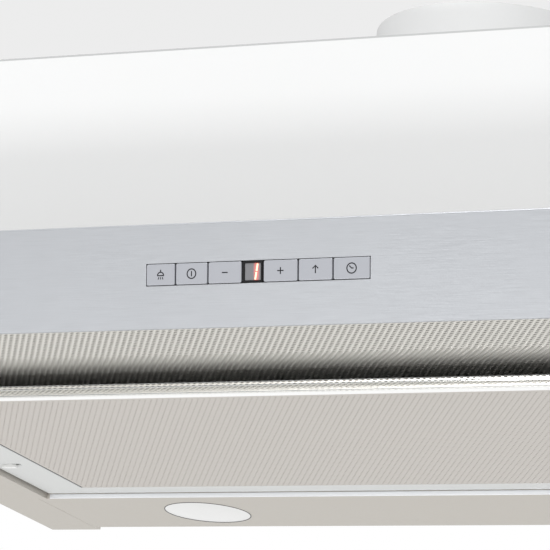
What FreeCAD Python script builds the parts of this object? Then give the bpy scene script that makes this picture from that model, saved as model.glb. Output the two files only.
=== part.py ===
import FreeCAD, Part
import os
import re
import Sketcher

# Pull-out cooker hood, 60 cm class, hung under a wall cabinet.
# Lengths are in millimetres.  Working axes: X to the right, Y from the fascia towards the wall,
# Z up, measured from the fascia's bottom edge.  put() moves every piece to the datum, which is
# the centre of the cabinet screw pattern on the top deck.

doc = FreeCAD.newDocument("pull_out_hood")
sheet = doc.addObject("Spreadsheet::Sheet", "sizes")

SIZES = [
    ("hood_width", 598.0, "overall width"),
    ("tray_height", 46.0, "height of the lower tray and of the fascia"),
    ("metal", 1.0, "sheet thickness"),
    ("visor_reach", 109.5, "fascia's bottom edge to the crossbar, visor part way out"),
    ("visor_travel_in", 90.0, "visor travel from this position to shut"),
    ("bar_depth", 5.7, "crossbar, front to back"),
    ("bar_height", 5.5, "crossbar height"),
    ("bar_round", 0.5, "rounding of the crossbar's front edges"),
    ("shell_setback", 0.5, "crossbar front to the shell's front edge"),
    ("cassette_gap_front", 2.8, "crossbar to the filter cassette"),
    ("cassette_depth", 196.5, "filter cassette, front to back"),
    ("cassette_gap_rear", 1.7, "filter cassette to the lamp panel"),
    ("cassette_gap_side", 2.0, "filter cassette to the side strips"),
    ("cassette_recess", 2.5, "underside to the filter cassette"),
    ("cassette_rim", 5.0, "height of the cassette frame"),
    ("cassette_side_rim", 28.0, "width of the cassette frame's sides"),
    ("cassette_end_rim", 10.0, "width of the cassette frame's front and rear"),
    ("perforated", 0.6, "thickness of the perforated sheets"),
    ("panel_depth", 66.8, "lamp panel, front to back"),
    ("panel_lip", 9.0, "height of the lamp panel's front and rear lips"),
    ("rear_step", 6.0, "side channels past the rear wall"),
    ("strip_width", 34.0, "width of each side strip beside the filter cassette"),
    ("channel_width", 29.0, "width of each side strip beside the lamp panel"),
    ("panel_clearance", 0.2, "lamp panel to the side strips"),
    ("strip_lip", 9.0, "height of a side strip's inner lip"),
    ("strip_flange", 12.0, "height of a side strip's outer flange"),
    ("fascia_length", 46.9, "fascia, measured up its slope"),
    ("fascia_tilt", 11.5, "lean of the fascia in degrees"),
    ("fascia_depth", 18.0, "fascia's bottom edge to its back plate"),
    ("fascia_round", 0.9, "outer bend along the fascia's top"),
    ("cap_thickness", 1.5, "end caps of the fascia"),
    ("key_base", 19.0, "bottom of the keys above the fascia's bottom edge"),
    ("key_height", 10.0, "height of the key slot"),
    ("key_gap", 0.6, "gap between neighbouring keys"),
    ("key_proud", 0.3, "keys in front of the fascia"),
    ("key_depth", 3.4, "depth of a key's cap behind the fascia's face"),
    ("key_travel", 0.8, "key travel"),
    ("key_stem_radius", 1.5, "guide stem of a key"),
    ("running_clearance", 0.05, "radial clearance of pins and stems in their holes"),
    ("strip_left", 53.8, "middle of the hood to the key slot's left end"),
    ("key_1_width", 14.4, "lamp key"),
    ("key_2_width", 15.8, "power key"),
    ("key_3_width", 16.5, "slower key"),
    ("display_width", 10.1, "display"),
    ("key_4_width", 16.7, "faster key"),
    ("key_5_width", 16.5, "intensive key"),
    ("key_6_width", 17.6, "timer key"),
    ("guide_wall", 1.5, "wall of the key carrier that guides the stems"),
    ("board_thickness", 1.6, "circuit board"),
    ("switch_width", 4.0, "push switches on the circuit board"),
    ("carrier_rim", 4.0, "key carrier past the key slot"),
    ("post_radius", 1.5, "posts between the key carrier and the circuit board"),
    ("post_inset", 2.0, "posts from the key carrier's edges"),
    ("visor_level", 10.4, "underside to the visor's perforated sheet"),
    ("visor_bend", 80.0, "fascia's bottom edge to the bend of the visor's sheet"),
    ("visor_ramp", 45.0, "rising part of the visor's sheet, front to back"),
    ("visor_rise", 6.4, "rise of the visor's sheet"),
    ("visor_tray_length", 210.0, "visor frame, front to back"),
    ("visor_rim", 7.6, "height of the visor frame"),
    ("visor_side_rim", 19.0, "width of the visor frame's sides"),
    ("visor_end_rim", 6.0, "width of the visor frame's front and rear"),
    ("visor_flange", 25.6, "height of the visor frame's side flanges"),
    ("flange_wall", 2.0, "thickness of the side flanges"),
    ("mesh_clearance", 0.2, "mesh pads to their frames"),
    ("mesh_height", 4.6, "height of the grease mesh"),
    ("rail_height", 26.0, "outer slide rail"),
    ("rail_depth", 8.0, "outer slide rail, side to side"),
    ("rail_wall", 2.0, "outer slide rail wall"),
    ("rail_level", 14.0, "underside to the outer slide rail"),
    ("rail_length", 268.0, "outer slide rail"),
    ("inner_rail_length", 250.0, "inner slide rail"),
    ("rail_clearance", 0.5, "inner rail to the outer rail, each way"),
    ("shoulder_side", 59.0, "side of the hood to the motor casing"),
    ("shoulder_front", 30.5, "crossbar front to the motor casing"),
    ("shoulder_rear", 23.0, "motor casing to the rear wall"),
    ("casing_height", 140.0, "motor casing"),
    ("casing_flange", 12.0, "flange round the motor casing's foot, under the deck"),
    ("casing_clearance", 0.3, "motor casing in the deck's opening"),
    ("seat_inset", 24.0, "side of the hood to the cabinet screws"),
    ("seat_pitch", 200.0, "cabinet screws, front to back"),
    ("seat_hole_radius", 2.5, "cabinet screw holes"),
    ("duct_radius", 60.0, "outside of the exhaust collar"),
    ("duct_wall", 1.5, "wall of the exhaust collar"),
    ("duct_height", 35.0, "exhaust collar"),
    ("duct_flange", 12.0, "exhaust collar's flange past its wall"),
    ("duct_flange_height", 2.0, "thickness of the exhaust collar's flange"),
    ("flap_level", 10.0, "bottom of the collar to the flaps"),
    ("flap_thickness", 1.4, "non-return flaps"),
    ("flap_clearance", 0.9, "flaps to the collar's wall"),
    ("flap_pivot", 3.5, "middle of the collar to a flap's pivot"),
    ("flap_pin_radius", 1.5, "flap pivot pins"),
    ("flap_bar", 1.2, "half width of the bar between the flaps"),
    ("flap_seat", 3.0, "ledge under the flaps"),
    ("scroll_radius", 62.0, "outside of the fan scroll"),
    ("scroll_width", 100.0, "fan scroll, side to side"),
    ("scroll_wall", 2.0, "wall of the fan scroll"),
    ("outlet_depth", 85.0, "scroll outlet, front to back"),
    ("inlet_radius", 43.0, "air inlets of the scroll"),
    ("fan_level", 66.0, "deck to the fan's axis"),
    ("wheel_radius", 54.0, "fan wheel"),
    ("wheel_length", 84.0, "fan wheel"),
    ("blade_length", 9.0, "fan blades, across"),
    ("blade_thickness", 0.9, "fan blades"),
    ("wheel_disc", 2.0, "middle disc of the fan wheel"),
    ("motor_radius", 34.0, "fan motor"),
    ("motor_length", 66.0, "fan motor"),
    ("motor_gap", 6.0, "fan motor to the middle of the wheel"),
    ("shaft_radius", 4.0, "fan shaft"),
    ("hub_radius", 12.0, "hub of the fan wheel"),
    ("hub_length", 6.0, "fan wheel's middle to the end of its hub"),
    ("bearing_length", 4.0, "motor's rear bearing past its can"),
    ("bracket_depth", 3.0, "motor bracket"),
    ("bracket_ring", 6.0, "outer ring of the motor bracket"),
    ("bracket_arm", 6.0, "width of the motor bracket's arms"),
    ("motor_collar", 2.0, "ring of the bracket round the motor"),
    ("outlet_flange", 12.0, "flange round the scroll's outlet"),
    ("lamp_radius", 23.2, "visible radius of a lamp"),
    ("lamp_clearance", 0.3, "lamp to its hole"),
    ("lamp_flange", 2.0, "lamp lens past its hole"),
    ("lamp_dome", 1.2, "bulge of a lamp lens"),
    ("lamp_inset", 114.2, "side of the hood to a lamp"),
    ("lamp_setback", 32.5, "rear of the lamp panel to a lamp"),
    ("cup_height", 20.0, "lamp holder"),
    ("latch_inset", 46.0, "side of the hood to a latch button"),
    ("latch_setback", 64.2, "rear of the cassette to a latch"),
    ("latch_width", 8.0, "latch bolt"),
    ("latch_height", 2.0, "latch bolt"),
    ("latch_travel", 4.0, "latch travel"),
    ("latch_clearance", 0.2, "latch bolt in its channel"),
    ("latch_engagement", 1.6, "latch bolt past the face of the side strip"),
    ("grip_depth", 2.6, "latch button, front to back"),
    ("grip_height", 1.6, "latch button below the filter cassette"),
    ("neck_width", 4.0, "neck between a latch's button and bolt"),
    ("screw_radius", 1.5, "fixing screws"),
    ("screw_head_radius", 2.6, "heads of the fixing screws"),
    ("screw_head_height", 1.5, "heads of the fixing screws"),
    ("screw_clearance", 0.1, "fixing screws in their holes"),
    ("strip_screw_front", 48.0, "front of the shell to the side strips' front screws"),
    ("strip_screw_rear", 36.0, "rear wall to the side strips' rear screws"),
    ("rail_screw_front", 36.0, "front of the shell to the rails' front screws"),
    ("rail_screw_rear", 60.0, "rear wall to the rails' rear screws"),
    ("capacitor_radius", 15.0, "run capacitor"),
    ("capacitor_length", 62.0, "run capacitor"),
    ("capacitor_stud", 5.0, "radius of the run capacitor's stud"),
    ("capacitor_setback", 48.0, "front of the motor casing to the run capacitor"),
    ("box_width", 84.0, "terminal box, side to side"),
    ("box_depth", 48.0, "terminal box, front to back"),
    ("box_height", 48.0, "terminal box"),
    ("box_wall", 2.0, "walls of the terminal box and its cover"),
    ("box_inset", 18.0, "side of the motor casing to the terminal box"),
    ("box_level", 48.0, "deck to the terminal box"),
    ("terminal_pitch", 12.0, "terminals, side to side"),
    ("terminal_width", 10.0, "one terminal"),
    ("terminal_depth", 16.0, "one terminal, front to back"),
    ("terminal_height", 12.0, "one terminal"),
    ("gland_radius", 9.0, "cable gland's flange"),
    ("gland_flange", 4.0, "height of the cable gland's flange"),
    ("gland_neck_radius", 7.2, "cable gland's neck"),
    ("gland_stem_radius", 5.0, "cable gland's stem, through the casing lid"),
    ("gland_stem_length", 6.0, "cable gland's stem below the casing lid"),
    ("gland_clearance", 0.4, "cable gland's stem in the casing lid"),
    ("gland_bore_radius", 4.0, "bore of the cable gland and of the terminal box"),
    ("gland_height", 15.0, "cable gland above the casing"),
    ("gland_setback", 36.0, "rear of the motor casing to the cable gland"),
]
for row, (alias, value, meaning) in enumerate(SIZES, start=1):
    sheet.set(f"A{row}", meaning)
    sheet.set(f"B{row}", str(value))
    sheet.setAlias(f"B{row}", alias)
doc.recompute()

ALIASES = re.compile(r"\b(" + "|".join(alias for alias, value, meaning in SIZES) + r")\b")
PLANES = {"front": "XZ_Plane", "side": "YZ_Plane", "flat": "XY_Plane"}
SIDES = (("left", "-1"), ("right", "1"))
ENDS = (("front", "-1"), ("rear", "1"))

# Positions that follow from the sizes.
HALF_WIDTH = "hood_width/2"
BAY_HALF = "(hood_width/2 - strip_width)"
PANEL_HALF = "(hood_width/2 - channel_width)"
BAR_REAR = "(visor_reach + bar_depth)"
CASSETTE_FRONT = f"({BAR_REAR} + cassette_gap_front)"
CASSETTE_REAR = f"({CASSETTE_FRONT} + cassette_depth)"
CASSETTE_HALF = f"({BAY_HALF} - cassette_gap_side)"
CASSETTE_OPENING = f"({CASSETTE_HALF} - cassette_side_rim)"
PANEL_FRONT = f"({CASSETTE_REAR} + cassette_gap_rear)"
PANEL_REAR = f"({PANEL_FRONT} + panel_depth)"
WALL_REAR = f"({PANEL_REAR} + metal)"
SIDE_REAR = f"({WALL_REAR} + rear_step)"
SHELL_FRONT = "(visor_reach + shell_setback)"
CASING_FRONT = "(visor_reach + shoulder_front)"
CASING_REAR = f"({PANEL_REAR} - shoulder_rear)"
CASING_HALF = "(hood_width/2 - shoulder_side)"
CASING_TOP = "(tray_height + casing_height)"
DATUM_DEPTH = f"(({CASING_FRONT} + {CASING_REAR})/2)"
CASING_HALF_DEPTH = f"(({CASING_REAR} - {CASING_FRONT})/2)"
SHEET_LEVEL = "cassette_recess"
FRAME_LEVEL = "(cassette_recess + perforated)"
LATCH_LEVEL = f"({FRAME_LEVEL} + metal)"
LATCH_DEPTH = f"({CASSETTE_REAR} - latch_setback)"
BOLT_ROOM_DEPTH = (f"{LATCH_DEPTH} - latch_width/2 - latch_clearance",
                   f"{LATCH_DEPTH} + latch_width/2 + latch_clearance")
BOLT_ROOM_HEIGHT = (f"{LATCH_LEVEL} - latch_clearance", f"{LATCH_LEVEL} + latch_height + latch_clearance")
TRAY_FRONT = "fascia_depth"
TRAY_REAR = "(fascia_depth + visor_tray_length)"
TRAY_HALF = "(hood_width/2 - metal - rail_depth - metal)"
TRAY_OPENING = f"({TRAY_HALF} - visor_side_rim)"
SCROLL_DEPTH = "(scroll_radius - outlet_depth/2)"
FAN_HEIGHT = "(tray_height + fan_level)"
FLAP_HEIGHT = f"({CASING_TOP} + flap_level)"
DUCT_INNER = "(duct_radius - duct_wall)"
KEY_MIDDLE = "(key_base + key_height/2)"
CARRIER_DEPTH = "(metal + key_depth + key_travel)"
BOARD_DEPTH = "(metal + key_depth + key_travel + guide_wall + 2*metal)"
THROUGH_DECK = ("tray_height - 2*metal", "tray_height + metal")
LID_CUT = (f"{CASING_TOP} - 3*metal", f"{CASING_TOP} + metal")
BOX_SIDES = (f"{CASING_HALF} - box_inset - box_width", f"{CASING_HALF} - box_inset")
BOX_ENDS = (f"{CASING_REAR} - metal - box_depth", f"{CASING_REAR} - metal")
BOX_HEIGHTS = ("tray_height + box_level", "tray_height + box_level + box_height")
GLAND_PLACE = (f"({CASING_HALF} - box_inset - box_width/2)", f"({CASING_REAR} - gland_setback)")


def sized(expression):
    """Point an expression's size names at the spreadsheet."""
    return ALIASES.sub(r"sizes.\1", expression)


def bind(item, prop, expression):
    item.setExpression(prop, sized(expression))


def value_of(expression):
    return float(sheet.evalExpression(sized(expression)))


def put(item, label, x="0", y="0", z="0", tilt=None):
    """Name a finished piece and place it, measured from the fascia's bottom edge."""
    driven = [rule[0].lstrip(".") for rule in item.ExpressionEngine]
    if any(name.startswith("Placement") for name in driven):
        held = doc.addObject("Part::Compound", "held")
        held.Links = [item]
        item = held
    item.Label = label
    if tilt:
        item.Placement = FreeCAD.Placement(FreeCAD.Vector(), FreeCAD.Rotation(FreeCAD.Vector(1, 0, 0), 1))
        bind(item, "Placement.Rotation.Angle", f"{tilt}*1deg")
    bind(item, "Placement.Base.x", f"({x})*1mm")
    bind(item, "Placement.Base.y", f"({y} - {DATUM_DEPTH})*1mm")
    bind(item, "Placement.Base.z", f"({z} - tray_height)*1mm")
    pieces.append(item)
    return item


def block(x, y, z):
    """A box between pairs of positions."""
    item = doc.addObject("Part::Box", "block")
    for prop, place, (low, high) in (("Length", "x", x), ("Width", "y", y), ("Height", "z", z)):
        bind(item, prop, f"({high}) - ({low})")
        bind(item, f"Placement.Base.{place}", low)
    return item


AXIS_TURNS = {
    "x": FreeCAD.Rotation(FreeCAD.Vector(0, 1, 0), 90),
    "y": FreeCAD.Rotation(FreeCAD.Vector(1, 0, 0), -90),
    "z": FreeCAD.Rotation(),
}


def rod(axis, radius, centre, span):
    """A cylinder along one axis; centre gives its place on the other two, in X, Y, Z order."""
    item = doc.addObject("Part::Cylinder", "rod")
    item.Placement = FreeCAD.Placement(FreeCAD.Vector(), AXIS_TURNS[axis])
    bind(item, "Radius", radius)
    bind(item, "Height", f"({span[1]}) - ({span[0]})")
    across = dict(zip([name for name in "xyz" if name != axis], centre))
    across[axis] = span[0]
    for name, place in across.items():
        bind(item, f"Placement.Base.{name}", place)
    return item


def join(*items):
    joined = doc.addObject("Part::MultiFuse", "joined")
    joined.Shapes = list(items)
    joined.Refine = True
    return joined


def cut(base, *tools):
    trimmed = doc.addObject("Part::Cut", "trimmed")
    trimmed.Base = base
    trimmed.Tool = tools[0] if len(tools) == 1 else join(*tools)
    return trimmed


def sketch_on(body, plane):
    sketch = body.newObject("Sketcher::SketchObject", "outline")
    support = [item for item in body.Origin.OriginFeatures if item.Role == PLANES[plane]][0]
    sketch.AttachmentSupport = [(support, "")]
    sketch.MapMode = "FlatFace"
    return sketch


def draw_polygon(sketch, points):
    """A closed outline whose corners are given as pairs of expressions."""
    corners = [FreeCAD.Vector(value_of(u), value_of(v), 0) for u, v in points]
    count = len(corners)
    for index in range(count):
        sketch.addGeometry(Part.LineSegment(corners[index], corners[(index + 1) % count]), False)
    for index in range(count):
        sketch.addConstraint(Sketcher.Constraint("Coincident", index, 2, (index + 1) % count, 1))
    for index, (u, v) in enumerate(points):
        for kind, place, at in (("DistanceX", u, corners[index].x), ("DistanceY", v, corners[index].y)):
            rule = sketch.addConstraint(Sketcher.Constraint(kind, index, 1, at))
            sketch.setExpression(f"Constraints[{rule}]", sized(f"({place})*1mm"))


def pad(body, sketch, length):
    """Raise an outline evenly to both sides of its plane."""
    feature = body.newObject("PartDesign::Pad", "pad")
    feature.Profile = sketch
    feature.Midplane = True
    bind(feature, "Length", length)
    body.Tip = feature
    return feature


def bar_of(plane, points, length):
    """A body with one constant section, centred on its drawing plane."""
    body = doc.addObject("PartDesign::Body", "section")
    sketch = sketch_on(body, plane)
    draw_polygon(sketch, points)
    pad(body, sketch, length)
    return body


def round_long_edges(body, radius, wanted):
    """Round the straight edges along X whose other two coordinates are wanted."""
    doc.recompute()
    names = []
    for index, edge in enumerate(body.Shape.Edges, start=1):
        low, high = edge.Vertexes[0].Point, edge.Vertexes[-1].Point
        for y, z in wanted:
            same = abs(low.y - value_of(y)) + abs(low.z - value_of(z)) < 0.01
            if same and abs(high.x - low.x) > value_of("hood_width/2"):
                names.append(f"Edge{index}")
    rounding = body.newObject("PartDesign::Fillet", "rounding")
    rounding.Base = (body.Group[-2], names)
    bind(rounding, "Radius", radius)
    body.Tip = rounding


def revolved(points):
    """A ring or disc turned about Z from a half section of (radius, height) corners."""
    body = doc.addObject("PartDesign::Body", "turned")
    sketch = sketch_on(body, "front")
    draw_polygon(sketch, points)
    turned = body.newObject("PartDesign::Revolution", "revolution")
    turned.Profile = sketch
    turned.ReferenceAxis = (sketch, ["V_Axis"])
    turned.Angle = 360
    body.Tip = turned
    return body


pieces = []

# ---------------------------------------------------------------- shell of the lower tray
screw_hole = "screw_radius + screw_clearance"
shell = cut(
    block((f"-{HALF_WIDTH}", HALF_WIDTH), (SHELL_FRONT, SIDE_REAR), ("0", "tray_height")),
    block((f"metal - {HALF_WIDTH}", f"{HALF_WIDTH} - metal"),
          (f"{SHELL_FRONT} - metal", f"{SIDE_REAR} - metal"), ("-metal", "tray_height - metal")),
    block((f"metal - {PANEL_HALF}", f"{PANEL_HALF} - metal"), (WALL_REAR, f"{SIDE_REAR} + metal"),
          ("-metal", "tray_height + metal")),
)
rear_wall = block((f"-{PANEL_HALF}", PANEL_HALF), (PANEL_REAR, WALL_REAR), ("0", "tray_height - metal/2"))
returns = []
for side, sign in SIDES:
    middle = f"{sign}*({PANEL_HALF} - metal/2)"
    returns.append(block((f"{middle} - metal/2", f"{middle} + metal/2"),
                         (f"{PANEL_REAR} + metal/2", f"{SIDE_REAR} - metal/2"),
                         ("0", "tray_height - metal/2")))
strip_screw_places = [f"({SHELL_FRONT} + strip_screw_front)", f"({PANEL_REAR} - strip_screw_rear)"]
rail_screw_places = [f"({SHELL_FRONT} + rail_screw_front)", f"({PANEL_REAR} - rail_screw_rear)"]
rail_middle = "(rail_level + rail_height/2)"
strip_screw_level = "(strip_flange/2 + metal)"
openings = [
    block((f"-{CASING_HALF} - casing_clearance", f"{CASING_HALF} + casing_clearance"),
          (f"{CASING_FRONT} - casing_clearance", f"{CASING_REAR} + casing_clearance"), THROUGH_DECK),
]
for side, sign in SIDES:
    for end in ("-1", "1"):
        openings.append(rod("z", "seat_hole_radius",
                            (f"{sign}*({HALF_WIDTH} - seat_inset)", f"{DATUM_DEPTH} + {end}*seat_pitch/2"),
                            THROUGH_DECK))
through_sides = (f"-{HALF_WIDTH} - metal", f"{HALF_WIDTH} + metal")
for place in strip_screw_places:
    openings.append(rod("x", screw_hole, (place, strip_screw_level), through_sides))
for place in rail_screw_places:
    openings.append(rod("x", screw_hole, (place, rail_middle), through_sides))
casing_screw_places = {}
for end, direction in ENDS:
    depth = f"{DATUM_DEPTH} + {direction}*({CASING_HALF_DEPTH} + casing_flange/2)"
    casing_screw_places[end] = [(f"{x}*({CASING_HALF} + casing_flange/2)", depth) for x in ("-1", "0", "1")]
for places in casing_screw_places.values():
    openings += [rod("z", screw_hole, place, THROUGH_DECK) for place in places]
put(cut(join(shell, rear_wall, *returns), *openings), "shell", y="0", z="0")

# ---------------------------------------------------------------- underside: strips, crossbar, lamp panel
STRIP_LENGTH = f"({SIDE_REAR} - metal - {BAR_REAR})"
for side, sign in SIDES:
    inner = f"{sign}*{BAY_HALF}"
    inner_face = f"{sign}*({BAY_HALF} + metal)"
    outer_face = f"{sign}*({HALF_WIDTH} - 2*metal)"
    outer = f"{sign}*({HALF_WIDTH} - metal)"
    section = bar_of("front", [
        (inner, "0"), (outer, "0"), (outer, "strip_flange"), (outer_face, "strip_flange"),
        (outer_face, "metal"), (inner_face, "metal"), (inner_face, "strip_lip"), (inner, "strip_lip"),
    ], STRIP_LENGTH)
    bind(section, "Placement.Base.y", f"({BAR_REAR} + {STRIP_LENGTH}/2)*1mm")
    through_flange = (f"{sign}*{HALF_WIDTH} - 2*metal", f"{sign}*{HALF_WIDTH} + 2*metal")
    slots = [rod("x", screw_hole, (place, strip_screw_level), through_flange)
             for place in strip_screw_places]
    notch_middle = f"{sign}*({BAY_HALF} + {PANEL_HALF} - metal)/2"
    notch_half = "(strip_width - channel_width + metal)/2"
    slots.append(block((f"{notch_middle} - {notch_half}", f"{notch_middle} + {notch_half}"),
                       (PANEL_FRONT, f"{SIDE_REAR} + metal"), ("-metal", "strip_lip + metal")))
    slots.append(block((f"{sign}*({BAY_HALF} + metal/2) - metal", f"{sign}*({BAY_HALF} + metal/2) + metal"),
                       BOLT_ROOM_DEPTH, BOLT_ROOM_HEIGHT))
    put(cut(section, *slots), f"side_strip_{side}")

crossbar = bar_of("side", [
    ("visor_reach", "0"), (BAR_REAR, "0"), (BAR_REAR, "bar_height"), ("visor_reach", "bar_height"),
], "hood_width - 2*metal")
round_long_edges(crossbar, "bar_round", [("visor_reach", "0"), ("visor_reach", "bar_height")])
put(crossbar, "crossbar")

panel = bar_of("side", [
    (PANEL_FRONT, "0"), (PANEL_REAR, "0"), (PANEL_REAR, "panel_lip"),
    (f"{PANEL_REAR} - metal", "panel_lip"), (f"{PANEL_REAR} - metal", "metal"),
    (f"{PANEL_FRONT} + metal", "metal"),
    (f"{PANEL_FRONT} + metal", "panel_lip"), (PANEL_FRONT, "panel_lip"),
], f"2*{PANEL_HALF} - 2*panel_clearance")
LAMP_X = "(hood_width/2 - lamp_inset)"
LAMP_Y = f"({PANEL_REAR} - lamp_setback)"
lamp_holes = [rod("z", "lamp_radius + lamp_clearance", (f"{sign}*{LAMP_X}", LAMP_Y), ("-metal", "2*metal"))
              for side, sign in SIDES]
put(cut(panel, *lamp_holes), "lamp_panel")

# ---------------------------------------------------------------- lamps
for side, sign in SIDES:
    dome_radius = "((lamp_radius*lamp_radius + lamp_dome*lamp_dome)/(2*lamp_dome))"
    ball = doc.addObject("Part::Sphere", "ball")
    bind(ball, "Radius", dome_radius)
    bind(ball, "Placement.Base.z", f"{dome_radius} - lamp_dome")
    dome = doc.addObject("Part::Common", "dome")
    dome.Base = ball
    dome.Tool = rod("z", "lamp_radius", ("0", "0"), ("-2*lamp_dome", "metal"))
    flange = rod("z", "lamp_radius + lamp_flange", ("0", "0"), ("metal", "2*metal"))
    put(join(dome, flange), f"lamp_lens_{side}", x=f"{sign}*{LAMP_X}", y=LAMP_Y)

    cup = revolved([
        ("lamp_radius - lamp_flange", "2*metal"), ("lamp_radius + lamp_flange", "2*metal"),
        ("lamp_radius + lamp_flange", "2*metal + cup_height"), ("0", "2*metal + cup_height"),
        ("0", "metal + cup_height"), ("lamp_radius + lamp_flange - metal", "metal + cup_height"),
        ("lamp_radius + lamp_flange - metal", "3*metal"), ("lamp_radius - lamp_flange", "3*metal"),
    ])
    put(cup, f"lamp_holder_{side}", x=f"{sign}*{LAMP_X}", y=LAMP_Y)

    emitter = join(
        rod("z", "lamp_radius - 2*lamp_flange", ("0", "0"),
            ("cup_height/2", "cup_height/2 + board_thickness")),
        rod("z", "lamp_radius/2", ("0", "0"), ("cup_height/2 - metal", "cup_height/2")),
        rod("z", "lamp_radius/3", ("0", "0"), ("cup_height/2 + board_thickness", "metal + cup_height")),
    )
    put(emitter, f"lamp_led_{side}", x=f"{sign}*{LAMP_X}", y=LAMP_Y)

# ---------------------------------------------------------------- grease filter cassette and its latches
latch_slots = []
latch_channels = []
for side, sign in SIDES:
    button = f"{sign}*(hood_width/2 - latch_inset)"
    swept = f"({button} - {sign}*latch_travel/2)"
    latch_slots.append(block((f"{swept} - neck_width/2 - latch_travel/2 - latch_clearance",
                              f"{swept} + neck_width/2 + latch_travel/2 + latch_clearance"),
                             (f"{LATCH_DEPTH} - grip_depth/2 - latch_clearance",
                              f"{LATCH_DEPTH} + grip_depth/2 + latch_clearance"),
                             (f"{SHEET_LEVEL} - metal", LATCH_LEVEL)))
    channel_middle = f"{sign}*({CASSETTE_HALF} - cassette_side_rim/2 + metal)"
    latch_channels.append(block((f"{channel_middle} - cassette_side_rim/2",
                                 f"{channel_middle} + cassette_side_rim/2"),
                                BOLT_ROOM_DEPTH, BOLT_ROOM_HEIGHT))
    bolt_half = "(latch_width + latch_engagement)"
    bolt_middle = f"{sign}*({BAY_HALF} + latch_engagement - {bolt_half})"
    bolt = block((f"{bolt_middle} - {bolt_half}", f"{bolt_middle} + {bolt_half}"),
                 (f"{LATCH_DEPTH} - latch_width/2", f"{LATCH_DEPTH} + latch_width/2"),
                 (LATCH_LEVEL, f"{LATCH_LEVEL} + latch_height"))
    neck = block((f"{button} - neck_width/2", f"{button} + neck_width/2"),
                 (f"{LATCH_DEPTH} - grip_depth/2", f"{LATCH_DEPTH} + grip_depth/2"),
                 (f"{SHEET_LEVEL} - metal/2", f"{LATCH_LEVEL} + metal/2"))
    grip = block((f"{button} - latch_width/2", f"{button} + latch_width/2"),
                 (f"{LATCH_DEPTH} - grip_depth/2", f"{LATCH_DEPTH} + grip_depth/2"),
                 (f"{SHEET_LEVEL} - grip_height", f"{SHEET_LEVEL} - latch_clearance"))
    put(join(bolt, neck, grip), f"latch_{side}")

cassette_sheet = block((f"-{CASSETTE_HALF}", CASSETTE_HALF), (CASSETTE_FRONT, CASSETTE_REAR),
                       (SHEET_LEVEL, FRAME_LEVEL))
put(cut(cassette_sheet, *latch_slots), "cassette_sheet")

cassette_frame = cut(
    block((f"-{CASSETTE_HALF}", CASSETTE_HALF), (CASSETTE_FRONT, CASSETTE_REAR),
          (FRAME_LEVEL, f"{FRAME_LEVEL} + cassette_rim")),
    block((f"-{CASSETTE_OPENING}", CASSETTE_OPENING),
          (f"{CASSETTE_FRONT} + cassette_end_rim", f"{CASSETTE_REAR} - cassette_end_rim"),
          (SHEET_LEVEL, f"{FRAME_LEVEL} + 2*cassette_rim")),
    *latch_slots,
    *latch_channels,
)
put(cassette_frame, "cassette_frame")
put(block((f"mesh_clearance - {CASSETTE_OPENING}", f"{CASSETTE_OPENING} - mesh_clearance"),
          (f"{CASSETTE_FRONT} + cassette_end_rim + mesh_clearance",
           f"{CASSETTE_REAR} - cassette_end_rim - mesh_clearance"),
          (FRAME_LEVEL, f"{FRAME_LEVEL} + mesh_height")), "cassette_mesh")

# ---------------------------------------------------------------- slide rails
for side, sign in SIDES:
    wall = f"{sign}*({HALF_WIDTH} - metal)"
    web = f"{sign}*({HALF_WIDTH} - metal - rail_wall)"
    mouth = f"{sign}*({HALF_WIDTH} - metal - rail_depth)"
    top = "(rail_level + rail_height)"
    outer = bar_of("front", [
        (wall, "rail_level"), (mouth, "rail_level"), (mouth, "rail_level + rail_wall"),
        (web, "rail_level + rail_wall"), (web, f"{top} - rail_wall"), (mouth, f"{top} - rail_wall"),
        (mouth, top), (wall, top),
    ], "rail_length")
    bind(outer, "Placement.Base.y", f"({SHELL_FRONT} + rail_wall + rail_length/2)*1mm")
    through_rail = (f"{sign}*{HALF_WIDTH} - 2*rail_wall", f"{sign}*{HALF_WIDTH} + 2*rail_wall")
    holes = [rod("x", screw_hole, (place, rail_middle), through_rail) for place in rail_screw_places]
    put(cut(outer, *holes), f"outer_rail_{side}")

    low = "(rail_level + rail_wall + rail_clearance)"
    high = f"({top} - rail_wall - rail_clearance)"
    face = f"{sign}*{TRAY_HALF}"
    inside = f"{sign}*({TRAY_HALF} + metal)"
    lip = f"{sign}*({HALF_WIDTH} - metal - rail_wall - rail_clearance)"
    inner = bar_of("front", [
        (face, low), (lip, low), (lip, f"{low} + metal"), (inside, f"{low} + metal"),
        (inside, f"{high} - metal"), (lip, f"{high} - metal"), (lip, high), (face, high),
    ], "inner_rail_length")
    bind(inner, "Placement.Base.y", "(fascia_depth + 2*rail_wall + inner_rail_length/2)*1mm")
    put(inner, f"inner_rail_{side}")

# ---------------------------------------------------------------- visor tray
VISOR_TOP = "(visor_level + visor_rim)"
opening = ((f"-{TRAY_OPENING}", TRAY_OPENING),
           (f"{TRAY_FRONT} + visor_end_rim", f"{TRAY_REAR} - visor_end_rim"))
visor_frame = cut(
    block((f"-{TRAY_HALF}", TRAY_HALF), (TRAY_FRONT, TRAY_REAR),
          ("visor_level", "visor_level + visor_flange")),
    block((f"flange_wall - {TRAY_HALF}", f"{TRAY_HALF} - flange_wall"),
          (f"{TRAY_FRONT} - metal", f"{TRAY_REAR} + metal"), (VISOR_TOP, "visor_level + 2*visor_flange")),
    block(*opening, ("visor_level - metal", f"{VISOR_TOP} + metal")),
)
put(visor_frame, "visor_frame")


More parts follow.
